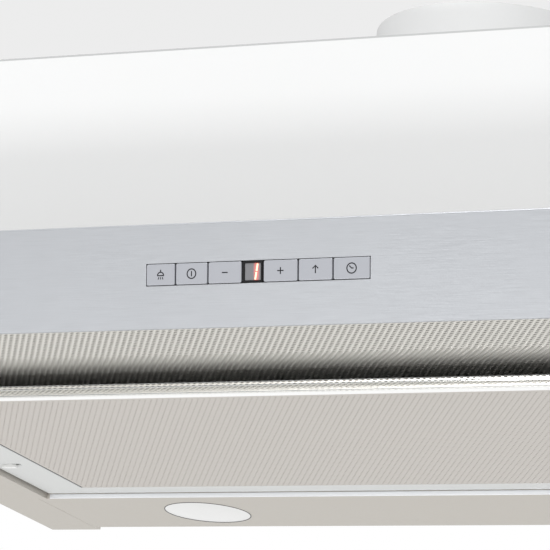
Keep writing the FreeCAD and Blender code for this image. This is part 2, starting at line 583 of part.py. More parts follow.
def bent_layer(front, rear, bottom, height, width):
    """A sheet or pad that runs level, rises evenly past the bend and runs level again."""
    top = f"{bottom} + {height}"
    ramp_end = "visor_bend + visor_ramp"
    return bar_of("side", [
        (front, bottom), ("visor_bend", bottom), (ramp_end, f"{bottom} + visor_rise"),
        (rear, f"{bottom} + visor_rise"), (rear, f"{top} + visor_rise"), (ramp_end, f"{top} + visor_rise"),
        ("visor_bend", top), (front, top),
    ], width)


put(bent_layer(*opening[1], "visor_level", "perforated", f"2*{TRAY_OPENING}"), "visor_sheet")
put(bent_layer(f"{opening[1][0]} + mesh_clearance", f"{opening[1][1]} - mesh_clearance",
               "visor_level + perforated", "mesh_height",
               f"2*{TRAY_OPENING} - 2*mesh_clearance"), "visor_mesh")

# ---------------------------------------------------------------- fascia
CAP_INNER = "(hood_width/2 - cap_thickness)"
TOP = "fascia_length*cos(fascia_tilt)"
LEAN = "tan(fascia_tilt)"
SKIN = "metal/cos(fascia_tilt)"
LIP = "(visor_level - metal)"
face_outline = [
    ("0", "0"), (SKIN, "0"), (f"{SKIN} - {LIP}*{LEAN}", LIP), ("fascia_depth", LIP),
    ("fascia_depth", "visor_level"), (f"{SKIN} - visor_level*{LEAN}", "visor_level"),
    (f"{SKIN} - ({TOP} - metal)*{LEAN}", f"{TOP} - metal"), ("fascia_depth", f"{TOP} - metal"),
    ("fascia_depth", TOP), (f"-{TOP}*{LEAN}", TOP),
]
fascia_skin = bar_of("side", face_outline, f"2*{CAP_INNER}")
round_long_edges(fascia_skin, "fascia_round", [(f"-{TOP}*{LEAN}", TOP)])
SLOT_RIGHT = ("(key_1_width + key_2_width + key_3_width + display_width + key_4_width + key_5_width"
              " + key_6_width - strip_left)")
slot = block(("-strip_left", SLOT_RIGHT), ("-2*metal", "2*metal"), ("key_base", "key_base + key_height"))
slot.Placement.Rotation = FreeCAD.Rotation(FreeCAD.Vector(1, 0, 0), 1)
bind(slot, "Placement.Rotation.Angle", "fascia_tilt*1deg")
bind(slot, "Placement.Base.y", "-2*metal*cos(fascia_tilt) - key_base*sin(fascia_tilt)")
bind(slot, "Placement.Base.z", "key_base*cos(fascia_tilt) - 2*metal*sin(fascia_tilt)")
put(cut(fascia_skin, slot), "fascia")

put(block((f"-{CAP_INNER}", CAP_INNER), ("fascia_depth - metal", "fascia_depth"),
          ("visor_level", f"{TOP} - metal")), "fascia_back")

for side, sign in SIDES:
    cap = bar_of("side", [
        ("0", "0"), (f"2*{SKIN}", "0"), ("fascia_depth", LIP),
        ("fascia_depth", TOP), (f"-{TOP}*{LEAN}", TOP),
    ], "cap_thickness")
    put(cap, f"fascia_cap_{side}", x=f"{sign}*({HALF_WIDTH} - cap_thickness/2)")

# ---------------------------------------------------------------- keys, display and their board
# These are drawn upright behind the fascia's face, Y inwards and Z up its slope, then leaned with it.
KEYS = [
    ("key_lamp", "-strip_left", "key_1_width"),
    ("key_power", "key_1_width - strip_left", "key_2_width"),
    ("key_slower", "key_1_width + key_2_width - strip_left", "key_3_width"),
    ("key_faster", f"{SLOT_RIGHT} - key_6_width - key_5_width - key_4_width", "key_4_width"),
    ("key_intensive", f"{SLOT_RIGHT} - key_6_width - key_5_width", "key_5_width"),
    ("key_timer", f"{SLOT_RIGHT} - key_6_width", "key_6_width"),
]
stem_holes = []
switches = []
for name, start, width in KEYS:
    middle = f"({start} + {width}/2)"
    cap = block((f"{start} + key_gap/2", f"{start} + {width} - key_gap/2"), ("-key_proud", "key_depth"),
                ("key_base + key_gap/2", "key_base + key_height - key_gap/2"))
    stem = rod("y", "key_stem_radius", (middle, KEY_MIDDLE),
               ("key_depth - metal/2", f"{BOARD_DEPTH} - metal - key_travel - 2*running_clearance"))
    put(join(cap, stem), name, tilt="fascia_tilt")
    stem_holes.append(rod("y", "key_stem_radius + running_clearance", (middle, KEY_MIDDLE),
                          (f"{CARRIER_DEPTH} - metal", f"{CARRIER_DEPTH} + guide_wall + metal")))
    switches.append(block((f"{middle} - switch_width/2", f"{middle} + switch_width/2"),
                          (f"{BOARD_DEPTH} - metal", BOARD_DEPTH),
                          (f"{KEY_MIDDLE} - switch_width/2", f"{KEY_MIDDLE} + switch_width/2")))

carrier_sides = ("-strip_left - carrier_rim", f"{SLOT_RIGHT} + carrier_rim")
carrier_heights = ("key_base - carrier_rim", "key_base + key_height + carrier_rim")
carrier = block(carrier_sides, ("metal", f"{CARRIER_DEPTH} + guide_wall"), carrier_heights)
key_room = block(("-strip_left", SLOT_RIGHT), ("0", CARRIER_DEPTH), ("key_base", "key_base + key_height"))
posts = []
for x in (f"{carrier_sides[0]} + post_inset", f"{carrier_sides[1]} - post_inset"):
    for z in (f"{carrier_heights[0]} + post_inset", f"{carrier_heights[1]} - post_inset"):
        posts.append(rod("y", "post_radius", (x, z), (f"{CARRIER_DEPTH} + metal/2", BOARD_DEPTH)))
put(join(cut(carrier, key_room, *stem_holes), *posts), "key_carrier", tilt="fascia_tilt")

board = block(carrier_sides, (BOARD_DEPTH, f"{BOARD_DEPTH} + board_thickness"), carrier_heights)
put(join(board, *switches), "key_board", tilt="fascia_tilt")

DISPLAY_LEFT = "(key_1_width + key_2_width + key_3_width - strip_left)"
DISPLAY_RIGHT = f"({DISPLAY_LEFT} + display_width)"
display_body = block((f"{DISPLAY_LEFT} + key_gap/2", f"{DISPLAY_RIGHT} - key_gap/2"), ("0", CARRIER_DEPTH),
                     ("key_base + key_gap/2", "key_base + key_height - key_gap/2"))
window_x = (f"{DISPLAY_LEFT} + 2*key_gap", f"{DISPLAY_RIGHT} - 2*key_gap")
window_z = ("key_base + 2*key_gap", "key_base + key_height - 2*key_gap")
put(cut(display_body, block(window_x, ("-metal", "metal"), window_z)), "display_bezel", tilt="fascia_tilt")
put(block(window_x, ("metal/4", "metal"), window_z), "display_window", tilt="fascia_tilt")

# ---------------------------------------------------------------- motor casing
# Its four walls stand in the deck's opening, and their feet are screwed to the deck from below.
foot_heights = ("tray_height - 2*metal", "tray_height - metal")
wall_heights = ("tray_height - 2*metal", f"{CASING_TOP} - metal")
for end, sign in ENDS:
    face = f"{DATUM_DEPTH} + {sign}*({CASING_HALF_DEPTH} - metal/2)"
    foot = f"{DATUM_DEPTH} + {sign}*({CASING_HALF_DEPTH} + casing_flange/2)"
    wall = block((f"-{CASING_HALF}", CASING_HALF), (f"{face} - metal/2", f"{face} + metal/2"), wall_heights)
    flange = block((f"-{CASING_HALF} - casing_flange", f"{CASING_HALF} + casing_flange"),
                   (f"{foot} - casing_flange/2", f"{foot} + casing_flange/2"), foot_heights)
    holes = [rod("z", screw_hole, place, THROUGH_DECK) for place in casing_screw_places[end]]
    put(cut(join(wall, flange), *holes), f"casing_{end}")
between_ends = (f"{CASING_FRONT} + metal", f"{CASING_REAR} - metal")
for side, sign in SIDES:
    face = f"{sign}*({CASING_HALF} - metal/2)"
    foot = f"{sign}*({CASING_HALF} + casing_flange/2)"
    wall = block((f"{face} - metal/2", f"{face} + metal/2"), between_ends, wall_heights)
    flange = block((f"{foot} - casing_flange/2", f"{foot} + casing_flange/2"), between_ends, foot_heights)
    put(join(wall, flange), f"casing_{side}")
casing_lid = cut(
    block((f"-{CASING_HALF}", CASING_HALF), (CASING_FRONT, CASING_REAR),
          (f"{CASING_TOP} - metal", CASING_TOP)),
    rod("z", DUCT_INNER, ("0", DATUM_DEPTH), LID_CUT),
    rod("z", "gland_stem_radius + gland_clearance", GLAND_PLACE, LID_CUT),
)
put(casing_lid, "casing_lid")

# ---------------------------------------------------------------- exhaust collar and non-return flaps
pin_middle = "(flap_level + flap_thickness/2)"
across_duct = ("-2*duct_radius", "2*duct_radius")
collar = join(
    cut(rod("z", "duct_radius", ("0", "0"), ("0", "duct_height")),
        rod("z", DUCT_INNER, ("0", "0"), ("-metal", "duct_height + metal")),
        *[rod("y", "flap_pin_radius + running_clearance", (f"{sign}*flap_pivot", pin_middle), across_duct)
          for side, sign in SIDES]),
    cut(rod("z", "duct_radius + duct_flange", ("0", "0"), ("0", "duct_flange_height")),
        rod("z", DUCT_INNER, ("0", "0"), ("-metal", "duct_flange_height + metal"))),
    block(("-flap_bar", "flap_bar"), (f"-{DUCT_INNER} - metal/2", f"{DUCT_INNER} + metal/2"),
          ("flap_level - 3*metal", "flap_level")),
    cut(rod("z", f"{DUCT_INNER} + metal/2", ("0", "0"), ("flap_level - metal", "flap_level")),
        rod("z", f"{DUCT_INNER} - flap_seat", ("0", "0"), ("flap_level - 2*metal", "flap_level + metal")),
        block(("-3*flap_pivot", "3*flap_pivot"), across_duct,
              ("flap_level - 2*metal", "flap_level + metal"))),
)
put(collar, "exhaust_collar", y=DATUM_DEPTH, z=CASING_TOP)

for side, sign in SIDES:
    edge = "(flap_pivot - flap_pin_radius - metal/2)"
    middle = f"{sign}*({edge} + duct_radius)"
    half_disc = doc.addObject("Part::Common", "half_disc")
    half_disc.Base = rod("z", f"{DUCT_INNER} - flap_clearance", ("0", "0"),
                         ("flap_level", "flap_level + flap_thickness"))
    half_disc.Tool = block((f"{middle} - duct_radius", f"{middle} + duct_radius"),
                           ("-duct_radius", "duct_radius"), ("flap_level - metal", "flap_level + 2*metal"))
    pin = rod("y", "flap_pin_radius", (f"{sign}*flap_pivot", pin_middle),
              ("metal/2 - duct_radius", "duct_radius - metal/2"))
    put(join(half_disc, pin), f"flap_{side}", y=DATUM_DEPTH, z=CASING_TOP)

# ---------------------------------------------------------------- fan
# Scroll, wheel, motor and bracket are drawn about the fan's axis, which lies along X.
FAN_PLACE = {"y": f"{DATUM_DEPTH} + {SCROLL_DEPTH}", "z": FAN_HEIGHT}
outlet_top = "(casing_height - fan_level - metal)"
outer_duct = ("-scroll_radius", "outlet_depth - scroll_radius")
inner_duct = ("scroll_wall - scroll_radius", "outlet_depth - scroll_radius - scroll_wall")
half_scroll = "scroll_width/2"
between_cheeks = (f"scroll_wall - {half_scroll}", f"{half_scroll} - scroll_wall")
outer_cheek = (f"{half_scroll} - scroll_wall", half_scroll)
scroll = cut(
    join(
        rod("x", "scroll_radius", ("0", "0"), (f"-{half_scroll}", half_scroll)),
        block((f"-{half_scroll}", half_scroll), outer_duct, ("0", outlet_top)),
        block((f"-{half_scroll} - outlet_flange", f"{half_scroll} + outlet_flange"),
              (f"{outer_duct[0]} - outlet_flange", f"{outer_duct[1]} + outlet_flange"),
              (f"{outlet_top} - scroll_wall", outlet_top)),
    ),
    rod("x", "scroll_radius - scroll_wall", ("0", "0"), between_cheeks),
    block(between_cheeks, inner_duct, ("0", f"{outlet_top} + metal")),
    block((outer_cheek[0], f"{half_scroll} + metal"), ("-2*scroll_radius", "2*scroll_radius"),
          ("-2*scroll_radius", f"{outlet_top} - scroll_wall")),
    rod("x", "inlet_radius", ("0", "0"), (f"-{half_scroll} - metal", "0")),
)
put(scroll, "scroll_housing", **FAN_PLACE)

scroll_cover = cut(
    join(
        rod("x", "scroll_radius", ("0", "0"), outer_cheek),
        block(outer_cheek, outer_duct, ("0", f"{outlet_top} - scroll_wall")),
    ),
    rod("x", "inlet_radius", ("0", "0"), ("0", f"{half_scroll} + metal")),
)
put(scroll_cover, "scroll_cover", **FAN_PLACE)

BLADE_COUNT = 32
BLADE_TIP = "(wheel_radius - metal/2)"
BLADE_ROOT = f"({BLADE_TIP} - metal/2 - blade_length)"
wheel = doc.addObject("PartDesign::Body", "wheel")
blade_outline = sketch_on(wheel, "side")
draw_polygon(blade_outline, [
    (BLADE_ROOT, "-blade_thickness"), (BLADE_TIP, "2*blade_thickness"),
    (BLADE_TIP, "3*blade_thickness"), (BLADE_ROOT, "0"),
])
blade = pad(wheel, blade_outline, "wheel_length")
blades = wheel.newObject("PartDesign::PolarPattern", "blades")
blades.Originals = [blade]
blades.Axis = ([item for item in wheel.Origin.OriginFeatures if item.Role == "X_Axis"][0], [""])
blades.Angle = 360
blades.Occurrences = BLADE_COUNT
wheel.Tip = blades
rims = []
for end, sign in ENDS:
    place = f"{sign}*wheel_length/2"
    rims.append(cut(rod("x", "wheel_radius", ("0", "0"), (f"{place} - metal", f"{place} + metal")),
                    rod("x", "wheel_radius - blade_length/2", ("0", "0"),
                        (f"{place} - 2*metal", f"{place} + 2*metal"))))
disc = cut(
    join(rod("x", "wheel_radius", ("0", "0"), ("-wheel_disc/2", "wheel_disc/2")),
         rod("x", "hub_radius", ("0", "0"), ("-wheel_disc/2", "hub_length"))),
    rod("x", "shaft_radius", ("0", "0"), ("-wheel_disc", "hub_length + metal")),
)
put(join(wheel, disc, *rims), "fan_wheel", **FAN_PLACE)

motor_rear = "(motor_gap + motor_length)"
motor = cut(
    join(rod("x", "motor_radius", ("0", "0"), (f"-{motor_rear}", "-motor_gap")),
         rod("x", "motor_radius/2", ("0", "0"), (f"-{motor_rear} - bearing_length", "-motor_gap"))),
    rod("x", "shaft_radius + running_clearance", ("0", "0"), (f"-{motor_rear} - 2*bearing_length", "0")),
)
put(motor, "fan_motor", **FAN_PLACE)
put(rod("x", "shaft_radius", ("0", "0"), (f"-{motor_rear} - bearing_length/2", "hub_length")), "fan_shaft",
    **FAN_PLACE)

bracket_span = (f"-{half_scroll} - bracket_depth", f"-{half_scroll}")
bracket_cut = (f"-{half_scroll} - 2*bracket_depth", "0")
arms = []
for turn in (0, 120, 240):
    arm = block(bracket_span, ("-bracket_arm/2", "bracket_arm/2"),
                ("motor_radius + motor_collar/2", "inlet_radius + metal + bracket_ring/2"))
    turned_arm = doc.addObject("Part::Compound", "arm")
    turned_arm.Links = [arm]
    about_x = FreeCAD.Rotation(FreeCAD.Vector(1, 0, 0), turn)
    turned_arm.Placement = FreeCAD.Placement(FreeCAD.Vector(), about_x)
    arms.append(turned_arm)
bracket = join(
    cut(rod("x", "motor_radius + motor_collar", ("0", "0"), bracket_span),
        rod("x", "motor_radius", ("0", "0"), bracket_cut)),
    cut(rod("x", "inlet_radius + metal + bracket_ring", ("0", "0"), bracket_span),
        rod("x", "inlet_radius + metal", ("0", "0"), bracket_cut)),
    *arms,
)
put(bracket, "motor_bracket", **FAN_PLACE)

# ---------------------------------------------------------------- electrical parts inside the casing
capacitor = join(rod("z", "capacitor_radius", ("0", "0"), ("-capacitor_length", "-metal")),
                 rod("z", "capacitor_stud", ("0", "0"), ("-capacitor_length - 8*metal", "-metal")))
put(capacitor, "run_capacitor", x=f"{CASING_HALF}/2", y=f"{CASING_FRONT} + capacitor_setback", z=CASING_TOP)

terminal_box = cut(
    block(BOX_SIDES, BOX_ENDS, BOX_HEIGHTS),
    block((f"{BOX_SIDES[0]} + box_wall", f"{BOX_SIDES[1]} - box_wall"),
          (f"{BOX_ENDS[0]} - metal", f"{BOX_ENDS[1]} - box_wall"),
          (f"{BOX_HEIGHTS[0]} + box_wall", f"{BOX_HEIGHTS[1]} - box_wall")),
    rod("z", "gland_bore_radius", GLAND_PLACE,
        (f"{BOX_HEIGHTS[1]} - 2*box_wall", f"{BOX_HEIGHTS[1]} + metal")),
)
put(terminal_box, "terminal_box")
put(block(BOX_SIDES, (f"{BOX_ENDS[0]} - box_wall", BOX_ENDS[0]), BOX_HEIGHTS), "terminal_cover")
TERMINAL_COUNT = 5
strip_start = f"({BOX_SIDES[0]} + {BOX_SIDES[1]} - {TERMINAL_COUNT}*terminal_pitch)/2"
strip_rear = f"{BOX_ENDS[1]} - box_wall"
strip_bottom = f"{BOX_HEIGHTS[0]} + box_wall"
terminals = []
for index in range(TERMINAL_COUNT):
    start = f"{strip_start} + {index}*terminal_pitch + (terminal_pitch - terminal_width)/2"
    terminals.append(block((start, f"{start} + terminal_width"),
                           (f"{strip_rear} - terminal_depth", strip_rear),
                           (strip_bottom, f"{strip_bottom} + terminal_height")))
base = block((strip_start, f"{strip_start} + {TERMINAL_COUNT}*terminal_pitch"),
             (f"{strip_rear} - terminal_depth + metal", strip_rear),
             (strip_bottom, f"{strip_bottom} + 2*box_wall"))
put(join(base, *terminals), "terminal_strip")

gland = cut(
    join(rod("z", "gland_radius", ("0", "0"), ("0", "gland_flange")),
         rod("z", "gland_neck_radius", ("0", "0"), ("gland_flange", "gland_height")),
         rod("z", "gland_stem_radius", ("0", "0"), ("-gland_stem_length", "metal"))),
    rod("z", "gland_bore_radius", ("0", "0"), ("-2*gland_stem_length", "gland_height + metal")),
)
put(gland, "cable_gland", x=GLAND_PLACE[0], y=GLAND_PLACE[1], z=CASING_TOP)


# ---------------------------------------------------------------- fixing screws
def screw(axis, place, head, tip, direction):
    """A headed screw; direction is the way its head points along the axis."""
    head_end = f"({head}) + ({direction})*screw_head_height"
    span = (head, head_end) if direction == "1" else (head_end, head)
    shank = (tip, head_end) if direction == "1" else (head_end, tip)
    return join(rod(axis, "screw_head_radius", place, span), rod(axis, "screw_radius", place, shank))


def grouped(screws):
    group = doc.addObject("Part::Compound", "screws")
    group.Links = screws
    return group


strip_screws = []
rail_screws = []
for side, sign in SIDES:
    inwards = "1" if side == "left" else "-1"
    inside_flange = f"{sign}*({HALF_WIDTH} - 2*metal)"
    inside_rail = f"{sign}*({HALF_WIDTH} - metal - rail_wall)"
    outside = f"{sign}*{HALF_WIDTH}"
    for place in strip_screw_places:
        strip_screws.append(screw("x", (place, strip_screw_level), inside_flange, outside, inwards))
    for place in rail_screw_places:
        rail_screws.append(screw("x", (place, rail_middle), inside_rail, outside, inwards))
casing_screws = [screw("z", place, foot_heights[0], "tray_height", "-1")
                 for places in casing_screw_places.values() for place in places]
put(grouped(strip_screws), "strip_screws")
put(grouped(rail_screws), "rail_screws")
put(grouped(casing_screws), "casing_screws")

# ---------------------------------------------------------------- check and write
doc.recompute()
for item in doc.Objects:
    if "Invalid" in item.State or "Error" in item.State:
        raise RuntimeError(f"{item.Label} did not build")
os.makedirs("parts", exist_ok=True)
for piece in pieces:
    if piece.Shape.isNull() or not piece.Shape.isValid():
        raise RuntimeError(f"{piece.Label} has no valid shape")
    piece.Shape.exportStep(f"parts/{piece.Label}.step")
print(len(pieces), "pieces written")
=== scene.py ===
import math

import bmesh
import bpy
import numpy as np
from mathutils import Matrix, Vector


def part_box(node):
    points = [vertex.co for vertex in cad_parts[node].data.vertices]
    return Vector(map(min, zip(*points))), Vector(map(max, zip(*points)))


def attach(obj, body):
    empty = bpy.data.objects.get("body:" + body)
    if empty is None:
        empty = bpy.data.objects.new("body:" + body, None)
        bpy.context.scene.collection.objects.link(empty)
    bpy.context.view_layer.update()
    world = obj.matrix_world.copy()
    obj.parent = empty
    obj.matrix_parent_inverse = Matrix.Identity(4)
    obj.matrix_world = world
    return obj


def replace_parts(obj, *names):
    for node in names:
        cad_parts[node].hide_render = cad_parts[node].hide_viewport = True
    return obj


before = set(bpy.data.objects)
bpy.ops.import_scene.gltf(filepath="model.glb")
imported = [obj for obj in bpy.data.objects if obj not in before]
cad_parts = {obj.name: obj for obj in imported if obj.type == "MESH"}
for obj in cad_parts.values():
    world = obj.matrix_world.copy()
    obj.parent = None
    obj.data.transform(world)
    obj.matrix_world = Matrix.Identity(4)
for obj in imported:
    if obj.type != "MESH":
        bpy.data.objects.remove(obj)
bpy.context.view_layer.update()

MM = 0.001
TILT = math.radians(11.5)
FASCIA_RETURN = 18.0 * MM
HOLE_PITCH = 3.11 * MM
HOLE_SIDES = 8
TOUCHING = 1e-9


# ------------------------------------------------------------------ measured places, all from the frame
def low(node):
    return Vector(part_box(node)[0])


def high(node):
    return Vector(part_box(node)[1])


FASCIA_EDGE = low("fascia_cap_left").z
FASCIA_FRONT = high("fascia_back").y - FASCIA_RETURN


def on_fascia(u, depth, height):
    """A point given across, inwards from and up the leaned face of the fascia."""
    y = FASCIA_FRONT + depth * np.cos(TILT) - height * np.sin(TILT)
    z = FASCIA_EDGE + depth * np.sin(TILT) + height * np.cos(TILT)
    return np.stack(np.broadcast_arrays(u, y, z), axis=-1)


# ------------------------------------------------------------------ mesh makers
def new_piece(name, points, faces, body, material, smooth=False):
    """A mesh object at the origin whose place is in its points; it rides on a CAD body."""
    mesh = bpy.data.meshes.new(name)
    mesh.from_pydata(np.asarray(points).reshape(-1, 3).tolist(), [], [list(face) for face in faces])
    mesh.update()
    piece = bpy.data.objects.new(name, mesh)
    bpy.context.scene.collection.objects.link(piece)
    mesh.materials.append(material)
    if smooth:
        mesh.polygons.foreach_set("use_smooth", np.ones(len(mesh.polygons), bool))
    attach(piece, body)
    return piece


def grid_faces(rows, columns, wrap=False, start=0):
    """Quads over a grid of points stored row by row; wrap joins each row's last point to its first."""
    across = columns if wrap else columns - 1
    i, j = np.meshgrid(np.arange(rows - 1), np.arange(across), indexing="ij")
    after = (j + 1) % columns
    a, b = i * columns + j, i * columns + after
    return (np.stack([a, b, b + columns, a + columns], axis=-1).reshape(-1, 4) + start).tolist()


def extruded(outline, low_x, high_x):
    """Carries a closed (y, z) outline along X; returns the points and faces of the closed bar."""
    outline = np.asarray(outline)
    count = len(outline)
    ends = [np.column_stack([np.full(count, x), outline]) for x in (low_x, high_x)]
    return np.concatenate(ends), slab_faces(2, count)


def windowed_plate(xs, ys, filled, levels):
    """A flat plate cut into cells by the places xs and ys; only the filled cells are made, with walls
    where a filled cell meets an empty one."""
    across, along = len(xs), len(ys)
    grid = np.stack(np.meshgrid(xs, ys, indexing="ij"), axis=-1).reshape(-1, 2)
    layer = len(grid)
    points = np.concatenate([np.column_stack([grid, np.full(layer, z)]) for z in levels])
    faces = []
    for i in range(across - 1):
        for j in range(along - 1):
            if not filled(i, j):
                continue
            ring = [i * along + j, (i + 1) * along + j, (i + 1) * along + j + 1, i * along + j + 1]
            faces += [ring[::-1], [k + layer for k in ring]]
            beside = ((i, j - 1), (i + 1, j), (i, j + 1), (i - 1, j))
            for k, (m, n) in enumerate(beside):
                inside = 0 <= m < across - 1 and 0 <= n < along - 1
                if not (inside and filled(m, n)):
                    one, two = ring[k], ring[(k + 1) % 4]
                    faces.append([one, two, two + layer, one + layer])
    return points, faces


def rounded_slab(half_u, half_v, corner, edge, depth, steps=6):
    """A rounded rectangle carried back from its face: an outline of four arcs, drawn in at the front
    by a quarter circle of radius edge.  Returns (u, depth, v) rows of outline points."""
    arc = np.linspace(0, np.pi / 2, steps)
    turns = np.concatenate([arc + quarter * np.pi / 2 for quarter in range(4)])
    sign_u = np.repeat([1, -1, -1, 1], steps)
    sign_v = np.repeat([1, 1, -1, -1], steps)
    fall = np.linspace(0, np.pi / 2, steps)
    inset = np.concatenate([edge * (1 - np.sin(fall)), [0.0]])[:, None]
    back = np.concatenate([edge * (1 - np.cos(fall)), [depth]])[:, None]
    radius = corner - inset
    u = sign_u * (half_u - corner) + radius * np.cos(turns)
    v = sign_v * (half_v - corner) + radius * np.sin(turns)
    return u, back + 0 * u, v


def slab_faces(rows, columns):
    """Walls between rings of points, closed by the first and the last ring."""
    faces = grid_faces(rows, columns, wrap=True)
    faces.append(list(range(columns))[::-1])
    faces.append(list(range((rows - 1) * columns, rows * columns)))
    return faces


def outward(piece):
    """Points every face of a closed piece outwards."""
    work = bmesh.new()
    work.from_mesh(piece.data)
    bmesh.ops.recalc_face_normals(work, faces=work.faces)
    work.to_mesh(piece.data)
    work.free()
    return piece


def perforated_sheets(name, area, field, levels, radius, body, material, panels, shape=None):
    """Sheets with round holes in rows half a pitch out of step.  Every hole sits in a brick one pitch
    wide; bricks of the next row are moved by half a brick.  A hole is an octagon, and each brick's
    six edge points are joined to its eight.  The plain border closes the sheet to its edges.
    area and field are ((x0, x1), (y0, y1)); shape moves points up by a function of y."""
    row_depth = HOLE_PITCH * math.sqrt(3) / 2
    bricks = int((field[0][1] - field[0][0]) / HOLE_PITCH)
    rows = int((field[1][1] - field[1][0]) / row_depth)
    x0 = (field[0][0] + field[0][1] - (bricks + 0.5) * HOLE_PITCH) / 2
    y0 = field[1][1] - rows * row_depth
    halves = 2 * bricks + 2
    splits = np.linspace(0, rows, panels + 1).astype(int)
    made = []
    for panel in range(panels):
        first, last = splits[panel], splits[panel + 1]
        count = last - first
        gx = x0 + np.arange(halves) * HOLE_PITCH / 2
        gy = y0 + np.arange(first, last + 1) * row_depth
        grid = np.stack(np.meshgrid(gx, gy), axis=-1).reshape(-1, 2)
        row, brick = np.meshgrid(np.arange(count), np.arange(bricks), indexing="ij")
        left = 2 * brick + (row + first) % 2
        centre_x = x0 + (left + 1) * HOLE_PITCH / 2
        centre_y = y0 + (row + first + 0.5) * row_depth
        turn = 360 / HOLE_SIDES
        angle = np.radians(turn / 2 - 180 + turn * np.arange(HOLE_SIDES))
        holes = np.stack([centre_x[..., None] + radius * np.cos(angle),
                          centre_y[..., None] + radius * np.sin(angle)], axis=-1).reshape(-1, 2)
        front = y0 + first * row_depth if panel else area[1][0]
        back = y0 + last * row_depth if panel < panels - 1 else area[1][1]
        left_edge, right_edge = area[0]
        corners = np.array([[left_edge, front], [right_edge, front], [right_edge, back], [left_edge, back]])
        flat = np.concatenate([grid, holes, corners])
        layer = len(flat)
        g = row * halves + left
        h = len(grid) + (row * bricks + brick) * HOLE_SIDES
        up = g + halves
        quads = [(g, g + 1, h + 1, h), (g + 1, g + 2, h + 3, h + 2), (g + 2, up + 2, h + 4, h + 3),
                 (up + 2, up + 1, h + 5, h + 4), (up + 1, up, h + 7, h + 6), (up, g, h, h + 7)]
        tris = [(g + 1, h + 2, h + 1), (up + 1, h + 6, h + 5)]
        faces = [np.stack(quad, axis=-1).reshape(-1, 4) for quad in quads]
        faces3 = [np.stack(tri, axis=-1).reshape(-1, 3) for tri in tris]
        line = np.arange(count)
        odd = (line + first) % 2
        spare = line * halves + np.where(odd == 1, 0, halves - 2)
        faces.append(np.stack([spare, spare + 1, spare + 1 + halves, spare + halves], axis=-1))
        c0 = layer - 4
        bottom_row = list(range(halves))
        top_row = list(range(count * halves, (count + 1) * halves))
        left_side = [k * halves for k in range(count + 1)]
        right_side = [k * halves + halves - 1 for k in range(count + 1)]
        borders = [[c0 + 3, c0] + left_side, [c0 + 1, c0 + 2] + right_side[::-1]]
        if front < gy[0] - TOUCHING:
            borders.append([c0, c0 + 1] + bottom_row[::-1])
        if back > gy[-1] + TOUCHING:
            borders.append([c0 + 2, c0 + 3] + top_row)
        under = np.column_stack([flat, np.full(layer, levels[0])])
        over = np.column_stack([flat, np.full(layer, levels[1])])
        points = np.concatenate([under, over])
        if shape is not None:
            points[:, 2] += shape(points[:, 1])
        all_faces = []
        for group in faces + faces3:
            all_faces += group[:, ::-1].tolist() + (group + layer).tolist()
        for border in borders:
            all_faces += [border[::-1], [k + layer for k in border]]
        ring = h.reshape(-1, 1) + np.arange(HOLE_SIDES)
        following = np.roll(ring, -1, axis=1)
        wall = np.stack([following, ring, ring + layer, following + layer], axis=-1).reshape(-1, 4)
        all_faces += wall.tolist()
        ahead = [] if front < gy[0] - TOUCHING else bottom_row
        behind = [] if back > gy[-1] + TOUCHING else top_row[::-1]
        rim = [c0] + ahead + [c0 + 1, c0 + 2] + behind + [c0 + 3]
        for one, two in zip(rim, rim[1:] + rim[:1]):
            all_faces.append([one, two, two + layer, one + layer])
        made.append(new_piece(f"{name}_{panel + 1}", points, all_faces, body, material))
    return made


# ------------------------------------------------------------------ materials
BROAD_SHARE = 0.35
BROAD_SCALE = 9
RELIEF_DEPTH = 0.4 * MM


